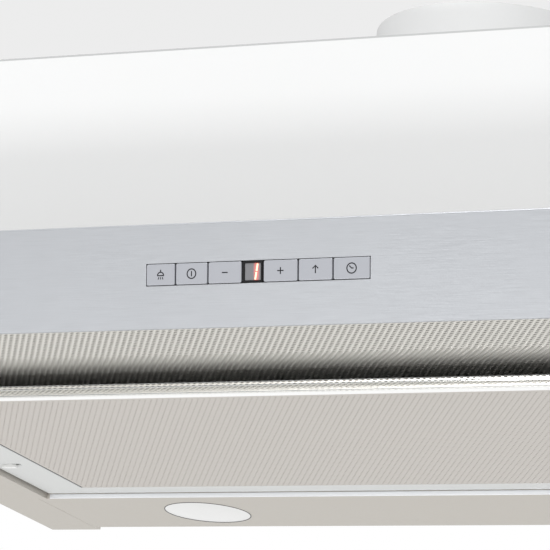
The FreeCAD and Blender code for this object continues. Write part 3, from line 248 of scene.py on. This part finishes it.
def grain_group():
    """Surface variation: stretched noise tints the base colour, moves the roughness and makes a fine
    relief.  colour = base * (1 + contrast * (fine + 0.35 broad - 0.675)), all noises from 0 to 1."""
    group = bpy.data.node_groups.new("sheet_grain", "ShaderNodeTree")
    colour, number, direction = "NodeSocketColor", "NodeSocketFloat", "NodeSocketVector"
    for label, kind, value in (("Base", colour, (0.5, 0.5, 0.5, 1)), ("Stretch", direction, (1, 1, 1)),
                               ("Scale", number, 200.0), ("Contrast", number, 0.1),
                               ("Relief", number, 0.1), ("Rough low", number, 0.3),
                               ("Rough high", number, 0.4)):
        group.interface.new_socket(label, in_out="INPUT", socket_type=kind).default_value = value
    for label, kind in (("Color", colour), ("Roughness", number), ("Normal", direction)):
        group.interface.new_socket(label, in_out="OUTPUT", socket_type=kind)
    node, link = group.nodes.new, group.links.new
    given, out = node("NodeGroupInput"), node("NodeGroupOutput")
    place, mapping = node("ShaderNodeTexCoord"), node("ShaderNodeMapping")
    fine, broad = node("ShaderNodeTexNoise"), node("ShaderNodeTexNoise")
    fine.inputs["Detail"].default_value = 5
    broad.inputs["Scale"].default_value = BROAD_SCALE
    broad.inputs["Detail"].default_value = 3
    link(place.outputs["Object"], mapping.inputs["Vector"])
    link(given.outputs["Stretch"], mapping.inputs["Scale"])
    link(mapping.outputs["Vector"], fine.inputs["Vector"])
    link(given.outputs["Scale"], fine.inputs["Scale"])
    link(place.outputs["Object"], broad.inputs["Vector"])
    blend = node("ShaderNodeMath")
    blend.operation = "MULTIPLY_ADD"
    blend.inputs[1].default_value = BROAD_SHARE
    link(broad.outputs["Fac"], blend.inputs[0])
    link(fine.outputs["Fac"], blend.inputs[2])
    centred = node("ShaderNodeMath")
    centred.operation = "SUBTRACT"
    centred.inputs[1].default_value = (1 + BROAD_SHARE) / 2
    link(blend.outputs[0], centred.inputs[0])
    scaled = node("ShaderNodeMath")
    scaled.operation = "MULTIPLY_ADD"
    scaled.inputs[2].default_value = 1.0
    link(centred.outputs[0], scaled.inputs[0])
    link(given.outputs["Contrast"], scaled.inputs[1])
    tint = node("ShaderNodeVectorMath")
    tint.operation = "SCALE"
    link(given.outputs["Base"], tint.inputs[0])
    link(scaled.outputs[0], tint.inputs["Scale"])
    link(tint.outputs["Vector"], out.inputs["Color"])
    rough = node("ShaderNodeMapRange")
    rough.inputs["From Min"].default_value = 0.3
    rough.inputs["From Max"].default_value = 0.7
    link(fine.outputs["Fac"], rough.inputs["Value"])
    link(given.outputs["Rough low"], rough.inputs["To Min"])
    link(given.outputs["Rough high"], rough.inputs["To Max"])
    link(rough.outputs["Result"], out.inputs["Roughness"])
    relief = node("ShaderNodeBump")
    relief.inputs["Distance"].default_value = RELIEF_DEPTH
    link(given.outputs["Relief"], relief.inputs["Strength"])
    link(fine.outputs["Fac"], relief.inputs["Height"])
    link(relief.outputs["Normal"], out.inputs["Normal"])
    return group


GRAIN = grain_group()


def finish(name, colour, metallic, roughness, scale=260.0, stretch=(1, 1, 1), contrast=0.08, relief=0.05,
           **direct):
    """A principled surface with the shared grain; roughness is a (low, high) pair, and direct holds
    values for the shader's own sockets."""
    material = bpy.data.materials.new(name)
    material.use_nodes = True
    nodes, links = material.node_tree.nodes, material.node_tree.links
    surface = nodes["Principled BSDF"]
    surface.inputs["Metallic"].default_value = metallic
    for label, value in direct.items():
        surface.inputs[label.replace("_", " ")].default_value = value
    grain = nodes.new("ShaderNodeGroup")
    grain.node_tree = GRAIN
    grain.inputs["Base"].default_value = (*colour, 1)
    grain.inputs["Stretch"].default_value = stretch
    grain.inputs["Scale"].default_value = scale
    grain.inputs["Contrast"].default_value = contrast
    grain.inputs["Relief"].default_value = relief
    grain.inputs["Rough low"].default_value = roughness[0]
    grain.inputs["Rough high"].default_value = roughness[1]
    links.new(grain.outputs["Color"], surface.inputs["Base Color"])
    links.new(grain.outputs["Roughness"], surface.inputs["Roughness"])
    links.new(grain.outputs["Normal"], surface.inputs["Normal"])
    return material


brushed_steel = finish("brushed_fascia_steel", (0.44, 0.453, 0.475), 0.85, (0.32, 0.42),
                       60, (1.2, 90, 90), 0.16, 0.12)
silver_paint = finish("silver_paint", (0.54, 0.515, 0.475), 0.25, (0.40, 0.50),
                      900, contrast=0.05, relief=0.06)
underside_paint = finish("underside_paint", (0.55, 0.52, 0.475), 0.2, (0.42, 0.52),
                         900, contrast=0.05, relief=0.05)
sheet_paint = finish("perforated_paint", (0.58, 0.545, 0.51), 0.2, (0.42, 0.52),
                     700, contrast=0.06, relief=0.05)
visor_paint = finish("visor_sheet_steel", (0.72, 0.70, 0.655), 0.4, (0.34, 0.44),
                     700, contrast=0.06, relief=0.05)
rim_paint = finish("cassette_rim_paint", (0.69, 0.70, 0.695), 0.2, (0.40, 0.50),
                   700, contrast=0.04, relief=0.03)
# painted light: the lip strip is the lamp panel's paint made much paler, standing for the light from the
# front
lit_lip_colour = finish("front_light_on_lip", (0.80, 0.815, 0.84), 0.2, (0.30, 0.40),
                   700, contrast=0.03, relief=0.02)
casing_paint = finish("casing_paint", (0.60, 0.603, 0.603), 0.0, (0.5, 0.6),
                      600, contrast=0.02, relief=0.03)
# painted shade: the lid is the casing's paint made darker, to offset the stronger light that falls on the
# top
shaded_lid_colour = finish("casing_top_painted_shade", (0.40, 0.405, 0.405), 0.2, (0.45, 0.55),
                   500, contrast=0.04, relief=0.04)
collar_plastic = finish("pale_collar_plastic", (0.56, 0.563, 0.563), 0.0, (0.45, 0.55),
                        600, contrast=0.03, relief=0.05)
polished_bar = finish("polished_bar", (0.96, 0.96, 0.95), 1.0, (0.03, 0.06), 120, (1, 30, 30), 0.03, 0.0)
galvanised = finish("galvanised_steel", (0.52, 0.54, 0.55), 0.9, (0.34, 0.52),
                    45, contrast=0.35, relief=0.04)
mesh_metal = finish("grease_mesh_metal", (0.16, 0.16, 0.155), 0.9, (0.35, 0.5),
                    300, contrast=0.3, relief=0.1)
key_silver = finish("silver_key", (0.36, 0.37, 0.40), 0.3, (0.34, 0.38), 400, contrast=0.01, relief=0.0)
icon_grey = finish("printed_icon", (0.012, 0.012, 0.014), 0.0, (0.6, 0.7), 900, Specular_IOR_Level=0.15)
black_plastic = finish("black_display_plastic", (0.006, 0.006, 0.007), 0.0, (0.45, 0.55),
                       900, relief=0.02,
                       Specular_IOR_Level=0.2)
# real dark plastic on the terminal box, cover and gland; also the painted shade of the lens rings and the
# rim-gap strips
dark_plastic_and_shade = finish("dark_moulded_plastic_and_gap_shade", (0.045, 0.046, 0.05), 0.0, (0.45, 0.6),
                      700, contrast=0.2, relief=0.15)
fan_plastic = finish("fan_plastic", (0.07, 0.072, 0.078), 0.0, (0.4, 0.55),
                     500, contrast=0.2, relief=0.1)
white_plastic = finish("white_moulded_plastic", (0.74, 0.72, 0.68), 0.0, (0.4, 0.5),
                       600, contrast=0.06, relief=0.08)
frosted_glass = finish("frosted_lamp_glass", (0.80, 0.80, 0.795), 0.0, (0.30, 0.31),
                       20, contrast=0.01, relief=0.0,
                       Coat_Weight=0.3, Coat_Roughness=0.12)
board_green = finish("circuit_board", (0.03, 0.16, 0.06), 0.0, (0.3, 0.45), 300, contrast=0.5)
motor_alloy = finish("motor_alloy", (0.46, 0.47, 0.48), 0.9, (0.4, 0.55), 150, contrast=0.2, relief=0.12)
bright_screw = finish("zinc_screw", (0.68, 0.68, 0.65), 1.0, (0.25, 0.35), 400, contrast=0.15)
latch_steel = finish("latch_steel", (0.86, 0.86, 0.85), 1.0, (0.15, 0.22), 300, (1, 8, 8), 0.05)


GLOW_CORE = 0.2 * MM
GLOW_REACH = 1.9 * MM
GLOW_SQUASH = 0.22
GLOW_STRENGTH = 0.8
SEGMENT_STRENGTH = 2.2


def display_glass(name, middle):
    """Smoked window with the glow of a lit digit.  The glow is a smooth step of the distance from the
    digit's middle, with the distance up the slope squashed so that it follows the upright stroke."""
    material = finish(name, (0.16, 0.16, 0.17), 0.0, (0.12, 0.18), 900, relief=0.0, Coat_Weight=0.6)
    nodes, links = material.node_tree.nodes, material.node_tree.links
    surface = nodes["Principled BSDF"]
    place = nodes.new("ShaderNodeTexCoord")
    shift = nodes.new("ShaderNodeMapping")
    shift.vector_type = "POINT"
    shift.inputs["Location"].default_value = [-v for v in middle]
    squash = nodes.new("ShaderNodeVectorMath")
    squash.operation = "MULTIPLY"
    squash.inputs[1].default_value = (1.0, 0.0, GLOW_SQUASH)
    length = nodes.new("ShaderNodeVectorMath")
    length.operation = "LENGTH"
    fade = nodes.new("ShaderNodeMapRange")
    fade.interpolation_type = "SMOOTHSTEP"
    fade.inputs["From Min"].default_value = GLOW_CORE
    fade.inputs["From Max"].default_value = GLOW_REACH
    fade.inputs["To Min"].default_value = 1.0
    fade.inputs["To Max"].default_value = 0.0
    glow = nodes.new("ShaderNodeVectorMath")
    glow.operation = "SCALE"
    glow.inputs[0].default_value = (1.0, 0.07, 0.02)
    links.new(place.outputs["Object"], shift.inputs["Vector"])
    links.new(shift.outputs["Vector"], squash.inputs[0])
    links.new(squash.outputs["Vector"], length.inputs[0])
    links.new(length.outputs["Value"], fade.inputs["Value"])
    links.new(fade.outputs["Result"], glow.inputs["Scale"])
    links.new(glow.outputs["Vector"], surface.inputs["Emission Color"])
    surface.inputs["Emission Strength"].default_value = GLOW_STRENGTH
    return material


def lit_segment():
    """The digit's own light: a pale warm red."""
    material = finish("lit_segment", (0.9, 0.5, 0.2), 0.0, (0.3, 0.4), 900)
    surface = material.node_tree.nodes["Principled BSDF"]
    surface.inputs["Emission Color"].default_value = (1.0, 0.45, 0.32, 1)
    surface.inputs["Emission Strength"].default_value = SEGMENT_STRENGTH
    return material


CARRIED_OVER = {
    "shell": silver_paint, "side_strip_left": underside_paint, "side_strip_right": underside_paint,
    "lamp_panel": underside_paint, "fascia": brushed_steel, "fascia_back": galvanised,
    "fascia_cap_left": silver_paint, "fascia_cap_right": silver_paint, "cassette_frame": galvanised,
    "visor_frame": galvanised, "outer_rail_left": galvanised, "outer_rail_right": galvanised,
    "inner_rail_left": galvanised, "inner_rail_right": galvanised, "casing_front": casing_paint,
    "casing_rear": casing_paint, "casing_left": casing_paint, "casing_right": casing_paint,
    "casing_lid": shaded_lid_colour, "exhaust_collar": collar_plastic, "flap_left": collar_plastic,
    "flap_right": collar_plastic, "scroll_housing": fan_plastic, "scroll_cover": fan_plastic,
    "fan_wheel": fan_plastic, "fan_motor": motor_alloy, "fan_shaft": bright_screw,
    "motor_bracket": galvanised, "run_capacitor": white_plastic,
    "terminal_box": dark_plastic_and_shade, "terminal_cover": dark_plastic_and_shade, "terminal_strip": white_plastic,
    "cable_gland": dark_plastic_and_shade, "strip_screws": bright_screw, "rail_screws": bright_screw,
    "casing_screws": bright_screw, "key_carrier": black_plastic, "key_board": board_green,
    "display_bezel": black_plastic, "lamp_holder_left": white_plastic, "lamp_holder_right": white_plastic,
    "lamp_led_left": white_plastic, "lamp_led_right": white_plastic, "latch_left": latch_steel,
    "latch_right": latch_steel, "lamp_lens_left": frosted_glass, "lamp_lens_right": frosted_glass,
}
for node, material in CARRIED_OVER.items():
    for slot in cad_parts[node].material_slots:
        slot.material = material

# ------------------------------------------------------------------ perforated sheets
FIELD_HALF = 236.0 * MM
FIELD_FRONT = 9.0 * MM
FIELD_REAR = 12.4 * MM
EDGE_STRIP = 0.35 * MM
RIM_GAP = 1.0 * MM
SHEET_LIFT = 0.12 * MM
CASSETTE_HOLE = 0.50 * MM
VISOR_HOLE = 1.0 * MM
SLOT_INNER = 19.8 * MM
SLOT_OUTER = 11.4 * MM
SLOT_HALF = 1.5 * MM
# the strips in the gaps beside the perforated field are painted shade: dark strips standing for the gaps'
# shadow
GAP_SHADE_LIFT = 0.1 * MM
GAP_SHADE_SIDES = 10
cassette_low, cassette_high = low("cassette_sheet"), high("cassette_sheet")
field_y = (cassette_low.y + FIELD_FRONT, cassette_high.y - FIELD_REAR)
sheet_half = FIELD_HALF + EDGE_STRIP
cassette_panels = perforated_sheets(
    "cassette_perforated", ((-sheet_half, sheet_half), (cassette_low.y, field_y[1] + EDGE_STRIP)),
    ((-FIELD_HALF, FIELD_HALF), field_y), (cassette_low.z + SHEET_LIFT, cassette_high.z),
    CASSETTE_HOLE, "housing", sheet_paint, 3)
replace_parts(cassette_panels[0], "cassette_sheet")


def cassette_rim():
    """The plain rim beside and behind the perforated field, with a slot for each latch."""
    window = sheet_half + RIM_GAP
    latch_low, latch_high = low("latch_right"), high("latch_right")
    inner, outer = latch_high.x - SLOT_INNER, latch_high.x - SLOT_OUTER
    middle = (latch_low.y + latch_high.y) / 2
    xs = [cassette_low.x, -outer, -inner, -window, window, inner, outer, cassette_high.x]
    ys = [cassette_low.y, middle - SLOT_HALF, middle + SLOT_HALF, field_y[1] + EDGE_STRIP, cassette_high.y]

    def filled(i, j):
        return not (i == 3 and j <= 2 or i in (1, 5) and j == 1)

    points, faces = windowed_plate(xs, ys, filled, (cassette_low.z, cassette_high.z))
    rim = new_piece("cassette_rim", points, faces, "housing", rim_paint)
    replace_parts(rim, "cassette_sheet")


cassette_rim()


def gap_shade_strip(side, sign):
    """A dark round strip in the gap between the perforated field and the rim, painted shade standing for
    the shadow in that gap.
    """
    angle = np.linspace(0, 2 * np.pi, GAP_SHADE_SIDES, endpoint=False)
    radius = RIM_GAP / 2
    x = sign * (sheet_half + radius) + radius * np.cos(angle)
    z = cassette_low.z + GAP_SHADE_LIFT + radius + radius * np.sin(angle)
    points = np.concatenate([np.column_stack([x, np.full(GAP_SHADE_SIDES, y), z]) for y in field_y])
    seal = new_piece(f"cassette_gap_shade_{side}", points, slab_faces(2, GAP_SHADE_SIDES), "housing",
                     dark_plastic_and_shade)
    outward(seal)


gap_shade_strip("left", -1)
gap_shade_strip("right", 1)

visor_low, visor_high = low("visor_sheet"), high("visor_sheet")
VISOR_BEND = FASCIA_FRONT + 80.0 * MM
VISOR_RAMP = 45.0 * MM
VISOR_RISE = 6.4 * MM
VISOR_SHEET = 0.35 * MM
VISOR_PLAIN_SIDE = 6.0 * MM
VISOR_PLAIN_END = 4.0 * MM


def visor_shape(y):
    """Level up to the bend, then an even rise to a second level."""
    return VISOR_RISE * np.clip((y - VISOR_BEND) / VISOR_RAMP, 0, 1)


visor_panels = perforated_sheets(
    "visor_perforated", ((visor_low.x, visor_high.x), (visor_low.y, visor_high.y)),
    ((visor_low.x + VISOR_PLAIN_SIDE, visor_high.x - VISOR_PLAIN_SIDE),
     (visor_low.y + VISOR_PLAIN_END, visor_high.y - VISOR_PLAIN_END)),
    (visor_low.z, visor_low.z + VISOR_SHEET), VISOR_HOLE, "visor", visor_paint, 4,
    visor_shape)
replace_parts(visor_panels[0], "visor_sheet")


# ------------------------------------------------------------------ lamp panel: painted front light on the lip, painted shade round the lenses
LIP_THICK = 0.3 * MM
LIP_TOP_GAP = 0.15 * MM
LIP_TOP_DEPTH = 0.02 * MM
LENS_RADIUS = 23.3 * MM
RING_THICK = 0.22 * MM
RING_DROP = 0.02 * MM
RING_STEPS = 96
RING_SIDES = 8


def lip_strip():
    """A strip on the lamp panel's front lip, painted pale to stand for the light from the front falling on
    it: a thin plate with a rounded lower edge.
    """
    front, bottom = low("lamp_panel").y, low("lamp_panel").z
    step = cassette_low.z - bottom
    turn = np.linspace(0, np.pi / 2, 6)
    lower = np.column_stack([front - LIP_THICK * np.sin(turn), bottom + LIP_THICK * (1 - np.cos(turn))])
    upper = [(front - LIP_THICK, bottom + step - LIP_TOP_GAP), (front - LIP_TOP_DEPTH, bottom + step)]
    points, faces = extruded(list(map(tuple, lower)) + upper, cassette_low.x, cassette_high.x)
    outward(new_piece("lamp_panel_lip", points, faces, "housing", lit_lip_colour))


def lens_gap_shade(side):
    """A dark ring round a lamp lens, painted shade for the shadow in the gap round the lens: a small round
    section carried round a circle.
    """
    a, b = low(f"lamp_lens_{side}"), high(f"lamp_lens_{side}")
    middle = (a + b) / 2
    section = np.linspace(0, 2 * np.pi, RING_SIDES, endpoint=False)
    around = np.linspace(0, 2 * np.pi, RING_STEPS, endpoint=False)[:, None]
    reach = LENS_RADIUS + RING_THICK * np.cos(section)
    level = low("lamp_panel").z + 0 * around - RING_DROP + RING_THICK * np.sin(section)
    x, y = middle.x + reach * np.cos(around), middle.y + reach * np.sin(around)
    points = np.stack([x, y, level], axis=-1)
    faces = grid_faces(RING_STEPS, RING_SIDES, wrap=True)
    last = (RING_STEPS - 1) * RING_SIDES
    for k in range(RING_SIDES):
        after = (k + 1) % RING_SIDES
        faces.append([last + k, last + after, after, k])
    outward(new_piece(f"lens_gap_shade_{side}", points, faces, "housing", dark_plastic_and_shade,
                      smooth=True))


lip_strip()
lens_gap_shade("left")
lens_gap_shade("right")


# ------------------------------------------------------------------ crossbar
BEAD_STEPS = 17
BEAD_BULGE = 0.22 * MM
BEAD_LEAN = 0.23 * MM
BEAD_MIDDLE = 2.35 * MM
BEAD_HALF = 1.65 * MM
# (depth, height) in mm from the bar's front lower edge
GROOVE = ((0.4, 0.0), (0.2, 0.2), (0.9, 0.3), (0.9, 0.65))
FLANGE = ((0.7, 4.05), (0.25, 4.15))


def crossbar_profile():
    """From the rear along the bottom: a flat underside, a groove, a bead that leans back and bulges
    forward as a parabola, and a narrow flat flange along the top.  With s from -1 to 1 up the bead,
    its depth is bulge * s * s + lean * (s + 1)."""
    a, b = low("crossbar"), high("crossbar")
    step = np.linspace(-1, 1, BEAD_STEPS)
    bead_depth = BEAD_BULGE * step * step + BEAD_LEAN * (step + 1)
    bead_height = BEAD_MIDDLE + BEAD_HALF * step
    bead = list(zip(a.y + bead_depth, a.z + bead_height))
    groove = [(a.y + depth * MM, a.z + height * MM) for depth, height in GROOVE]
    flange = [(a.y + depth * MM, a.z + height * MM) for depth, height in FLANGE]
    top = [(a.y + 0.25 * MM, b.z - 0.2 * MM), (a.y + 0.45 * MM, b.z), (b.y, b.z)]
    return [(b.y, a.z)] + groove + bead + flange + top


bar_points, bar_faces = extruded(crossbar_profile(), low("crossbar").x, high("crossbar").x)
bar = new_piece("crossbar_moulding", bar_points, bar_faces, "housing", polished_bar)
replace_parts(outward(bar), "crossbar")


# ------------------------------------------------------------------ grease mesh
WIRE_WAVE = 0.5 * MM
WIRE_ACROSS = 7.2 * MM
WIRE_ALONG = 6.4 * MM
FLAT_EDGE = 3.0 * MM
PAD_TOP_GAP = 0.55 * MM
UNDER_SHARE = 0.4
PAD_COLUMNS = 300
PAD_ROWS = 110


def woven_pad(name, node, body, lift, rise=0.0, shape=None):
    """A closed pad whose top and bottom are crossing waves, a product of two sines, over a fine grid.
    shape moves points up by a function of y, by at most rise."""
    a, b = low(node), high(node)
    columns, rows = PAD_COLUMNS, PAD_ROWS
    x, y = np.meshgrid(np.linspace(a.x, b.x, columns), np.linspace(a.y, b.y, rows))
    wave = WIRE_WAVE * np.sin(2 * np.pi * x / WIRE_ACROSS) * np.sin(2 * np.pi * y / WIRE_ALONG)
    edge = np.minimum.reduce([x - a.x, b.x - x, y - a.y, b.y - y]) / FLAT_EDGE
    wave = wave * np.clip(edge, 0, 1)
    bent = shape(y) if shape else 0.0
    top = np.stack([x, y, b.z - rise - PAD_TOP_GAP + wave + bent], axis=-1).reshape(-1, 3)
    under = np.stack([x, y, a.z + lift + wave * UNDER_SHARE + bent], axis=-1).reshape(-1, 3)
    count = rows * columns
    faces = grid_faces(rows, columns) + [face[::-1] for face in grid_faces(rows, columns, start=count)]
    edge_line = list(range(columns)) + [k * columns + columns - 1 for k in range(1, rows)]
    edge_line += list(range(count - 2, count - columns - 1, -1))
    edge_line += [k * columns for k in range(rows - 2, 0, -1)]
    for one, two in zip(edge_line, edge_line[1:] + edge_line[:1]):
        faces.append([one + count, two + count, two, one])
    pad = new_piece(name, np.concatenate([top, under]), faces, body, mesh_metal, smooth=True)
    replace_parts(pad, node)
    return pad


CASSETTE_PAD_LIFT = 0.9 * MM
VISOR_PAD_LIFT = 1.2 * MM
woven_pad("cassette_mesh_pad", "cassette_mesh", "housing", CASSETTE_PAD_LIFT)
woven_pad("visor_mesh_pad", "visor_mesh", "visor", VISOR_PAD_LIFT, VISOR_RISE, visor_shape)

# ------------------------------------------------------------------ keys and their symbols
KEYS = ("key_lamp", "key_power", "key_slower", "key_faster", "key_intensive", "key_timer")
KEY_LOW = 19.3 * MM
KEY_HIGH = 28.7 * MM
KEY_MIDDLE = (KEY_LOW + KEY_HIGH) / 2
KEY_PROUD = 0.3 * MM
KEY_BACK = 3.4 * MM
KEY_CORNER = 0.7 * MM
KEY_EDGE = 0.35 * MM
PRINT_BODY = 0.06 * MM
PRINT_PROUD = KEY_PROUD + 0.03 * MM
CROSSING_PROUD = KEY_PROUD + 0.035 * MM


def key_cap(node):
    """A key with rounded corners and softly rounded front edges, leaned with the fascia."""
    a, b = low(node), high(node)
    u, depth, v = rounded_slab((b.x - a.x) / 2, (KEY_HIGH - KEY_LOW) / 2, KEY_CORNER, KEY_EDGE,
                               KEY_BACK + KEY_PROUD)
    points = on_fascia(u + (a.x + b.x) / 2, depth - KEY_PROUD, v + KEY_MIDDLE)
    cap = new_piece(f"{node}_cap", points, slab_faces(*u.shape), node, key_silver)
    outward(cap)
    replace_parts(cap, node)
    return (a.x + b.x) / 2


def unit(steps):
    return steps / np.linalg.norm(steps, axis=1)[:, None]


def stroke(name, path, width, body, material, closed=False, proud=PRINT_PROUD):
    """A thin printed line: a path in (across, up the slope), widened to both sides and given a little
    body.  The side at each point is square to the sum of the unit steps before and after it."""
    path = np.array(path, float)
    ahead = np.roll(path, -1, axis=0) - path
    behind = path - np.roll(path, 1, axis=0)
    if not closed:
        ahead[-1], behind[0] = behind[-1], ahead[0]
    along = unit(ahead) + unit(behind)
    along /= np.linalg.norm(along, axis=1)[:, None]
    side = np.stack([-along[:, 1], along[:, 0]], axis=-1) * width / 2
    section = np.stack([path + side, path - side, path - side, path + side], axis=1)
    depth = np.array([-proud, -proud, -proud + PRINT_BODY, -proud + PRINT_BODY])
    points = on_fascia(section[..., 0], depth, section[..., 1]).reshape(-1, 3)
    count = len(path)
    i = np.arange(count if closed else count - 1)
    faces = []
    for k in range(4):
        after = (k + 1) % 4
        nxt = (i + 1) % count
        faces += np.stack([i * 4 + k, i * 4 + after, nxt * 4 + after, nxt * 4 + k], axis=-1).tolist()
    if not closed:
        faces += [[3, 2, 1, 0], [4 * count - 4, 4 * count - 3, 4 * count - 2, 4 * count - 1]]
    return outward(new_piece(name, points, faces, body, material))


def circle(u, v, radius, start=0.0, end=360.0, steps=40):
    angle = np.radians(np.linspace(start, end, steps, endpoint=abs(end - start) < 360))
    return np.stack([u + radius * np.cos(angle), v + radius * np.sin(angle)], axis=-1)


key_middles = {node: key_cap(node) for node in KEYS}
LINE = 0.50 * MM
mid = KEY_MIDDLE


def at(node, *pairs):
    """Points given in mm from the middle of a key."""
    return [(key_middles[node] + u * MM, mid + v * MM) for u, v in pairs]


def symbol(name, node, path, share=1.0, closed=False, proud=PRINT_PROUD):
    stroke(f"icon_{name}", path, LINE * share, node, icon_grey, closed, proud)


lamp_u = key_middles["key_lamp"]
symbol("lamp_cord", "key_lamp", at("key_lamp", (0, 2.2), (0, 1.2)))
symbol("lamp_shade", "key_lamp", circle(lamp_u, mid - 0.4 * MM, 1.5 * MM, 0, 180))
symbol("lamp_base", "key_lamp", at("key_lamp", (-1.7, -0.4), (1.7, -0.4)))
for k, spread in enumerate((-1.2, 0.0, 1.2)):
    symbol(f"lamp_ray_{k + 1}", "key_lamp", at("key_lamp", (spread * 0.7, -1.1), (spread, -2.1)), 0.8)
symbol("power_ring", "key_power", circle(key_middles["key_power"], mid, 2.1 * MM), closed=True)
symbol("power_bar", "key_power", at("key_power", (0, 1.2), (0, -1.2)))
symbol("slower", "key_slower", at("key_slower", (-1.4, 0), (1.4, 0)))
symbol("faster_across", "key_faster", at("key_faster", (-1.5, 0), (1.5, 0)))
symbol("faster_up", "key_faster", at("key_faster", (0, -1.5), (0, 1.5)), 0.98, proud=CROSSING_PROUD)
symbol("intensive_stem", "key_intensive", at("key_intensive", (0, -1.7), (0, 1.6)))
symbol("intensive_head", "key_intensive", at("key_intensive", (-1.35, 0.4), (0, 1.75), (1.35, 0.4)),
       proud=CROSSING_PROUD)
symbol("timer_ring", "key_timer", circle(key_middles["key_timer"], mid, 2.2 * MM), closed=True)
symbol("timer_hand", "key_timer", at("key_timer", (-1.1, 1.1), (0, 0), (0.9, 0)))

# ------------------------------------------------------------------ display
PANE_DEPTH = 0.25 * MM
PANE_HALF_HEIGHT = 3.8 * MM
PANE_CORNER = 0.4 * MM
PANE_EDGE = 0.15 * MM
PANE_THICK = 0.7 * MM
DIGIT_WIDTH = 0.72 * MM
DIGIT_LEAN = 0.16
DIGIT_SHIFT = 1.7 * MM
DIGIT_DEPTH = 0.22 * MM
GLOW_DEPTH = 0.2 * MM
window_low, window_high = low("display_window"), high("display_window")
window_u = (window_low.x + window_high.x) / 2
digit_u = window_u + DIGIT_SHIFT
digit_place = on_fascia(digit_u, GLOW_DEPTH, mid).reshape(3)
glow_glass = display_glass("smoked_display_glass", digit_place)
u, depth, v = rounded_slab((window_high.x - window_low.x) / 2, PANE_HALF_HEIGHT, PANE_CORNER, PANE_EDGE,
                           PANE_THICK)
window = new_piece("display_pane", on_fascia(u + window_u, depth + PANE_DEPTH, v + mid),
                   slab_faces(*u.shape), "visor", glow_glass)
outward(window)
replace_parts(window, "display_window")
segment_light = lit_segment()
for k, ends in enumerate(((-3.45, -0.25), (0.25, 3.45))):
    path = [(digit_u + DIGIT_LEAN * height * MM, mid + height * MM) for height in ends]
    stroke(f"display_digit_{k + 1}", path, DIGIT_WIDTH, "visor", segment_light, proud=-DIGIT_DEPTH)

# ------------------------------------------------------------------ stage, lights, camera
FLOOR_LEVEL = -6.0
FLOOR_HALF = 14.0
corner_signs = ((-1, -1), (1, -1), (1, 1), (-1, 1))
floor_corners = [(x * FLOOR_HALF, y * FLOOR_HALF, FLOOR_LEVEL) for x, y in corner_signs]
floor = bpy.data.objects.new("floor", bpy.data.meshes.new("floor"))
floor.data.from_pydata(floor_corners, [], [(0, 1, 2, 3)])
bpy.context.scene.collection.objects.link(floor)
floor.data.materials.append(finish("pale_floor", (0.90, 0.90, 0.89), 0.0, (0.7, 0.8), 40, contrast=0.02))


def studio_world(low_sine, high_sine, below, above):
    """A plain surround whose brightness falls smoothly, from below to above, between two sines of the
    direction's elevation."""
    world = bpy.data.worlds.new("studio")
    bpy.context.scene.world = world
    world.use_nodes = True
    nodes, links = world.node_tree.nodes, world.node_tree.links
    place = nodes.new("ShaderNodeTexCoord")
    split = nodes.new("ShaderNodeSeparateXYZ")
    fade = nodes.new("ShaderNodeMapRange")
    fade.interpolation_type = "SMOOTHSTEP"
    fade.inputs["From Min"].default_value = low_sine
    fade.inputs["From Max"].default_value = high_sine
    fade.inputs["To Min"].default_value = below
    fade.inputs["To Max"].default_value = above
    links.new(place.outputs["Generated"], split.inputs["Vector"])
    links.new(split.outputs["Z"], fade.inputs["Value"])
    links.new(fade.outputs["Result"], nodes["Background"].inputs["Strength"])
    nodes["Background"].inputs["Color"].default_value = (1, 1, 1, 1)


studio_world(0.215, 0.275, 1.0, 0.845)


def soft_light(name, place, aim, size, power):
    """A square studio light turned towards a point of the object."""
    light = bpy.data.lights.new(name, "AREA")
    light.size = size
    light.energy = power
    lamp = bpy.data.objects.new(name, light)
    bpy.context.scene.collection.objects.link(lamp)
    lamp.location = place
    lamp.rotation_euler = (Vector(aim) - Vector(place)).to_track_quat("-Z", "Y").to_euler()


soft_light("front_light", (-0.7, -2.2, -1.3), (0, -0.1, -0.03), 0.30, 20)
soft_light("high_light", (0.1, -1.3, 2.3), (0, -0.1, 0.05), 1.2, 70)
soft_light("rear_light", (0.9, 1.6, 1.3), (0, 0, 0.05), 1.0, 10)

CAMERA_PLACE = (0.6727, FASCIA_FRONT - 1.4186, FASCIA_EDGE - 0.4191)
CAMERA_TURN, CAMERA_RISE, CAMERA_ROLL = 0.439, 0.275, 0.092
camera = bpy.data.objects.new("camera", bpy.data.cameras.new("camera"))
bpy.context.scene.collection.objects.link(camera)
camera.data.lens = 244.1
camera.data.sensor_width = 36.0
aim = (Matrix.Rotation(CAMERA_TURN, 4, "Z") @ Matrix.Rotation(math.pi / 2 + CAMERA_RISE, 4, "X")
       @ Matrix.Rotation(CAMERA_ROLL, 4, "Z"))
camera.matrix_world = Matrix.Translation(CAMERA_PLACE) @ aim
bpy.context.scene.camera = camera
bpy.context.scene.view_settings.view_transform = "Standard"
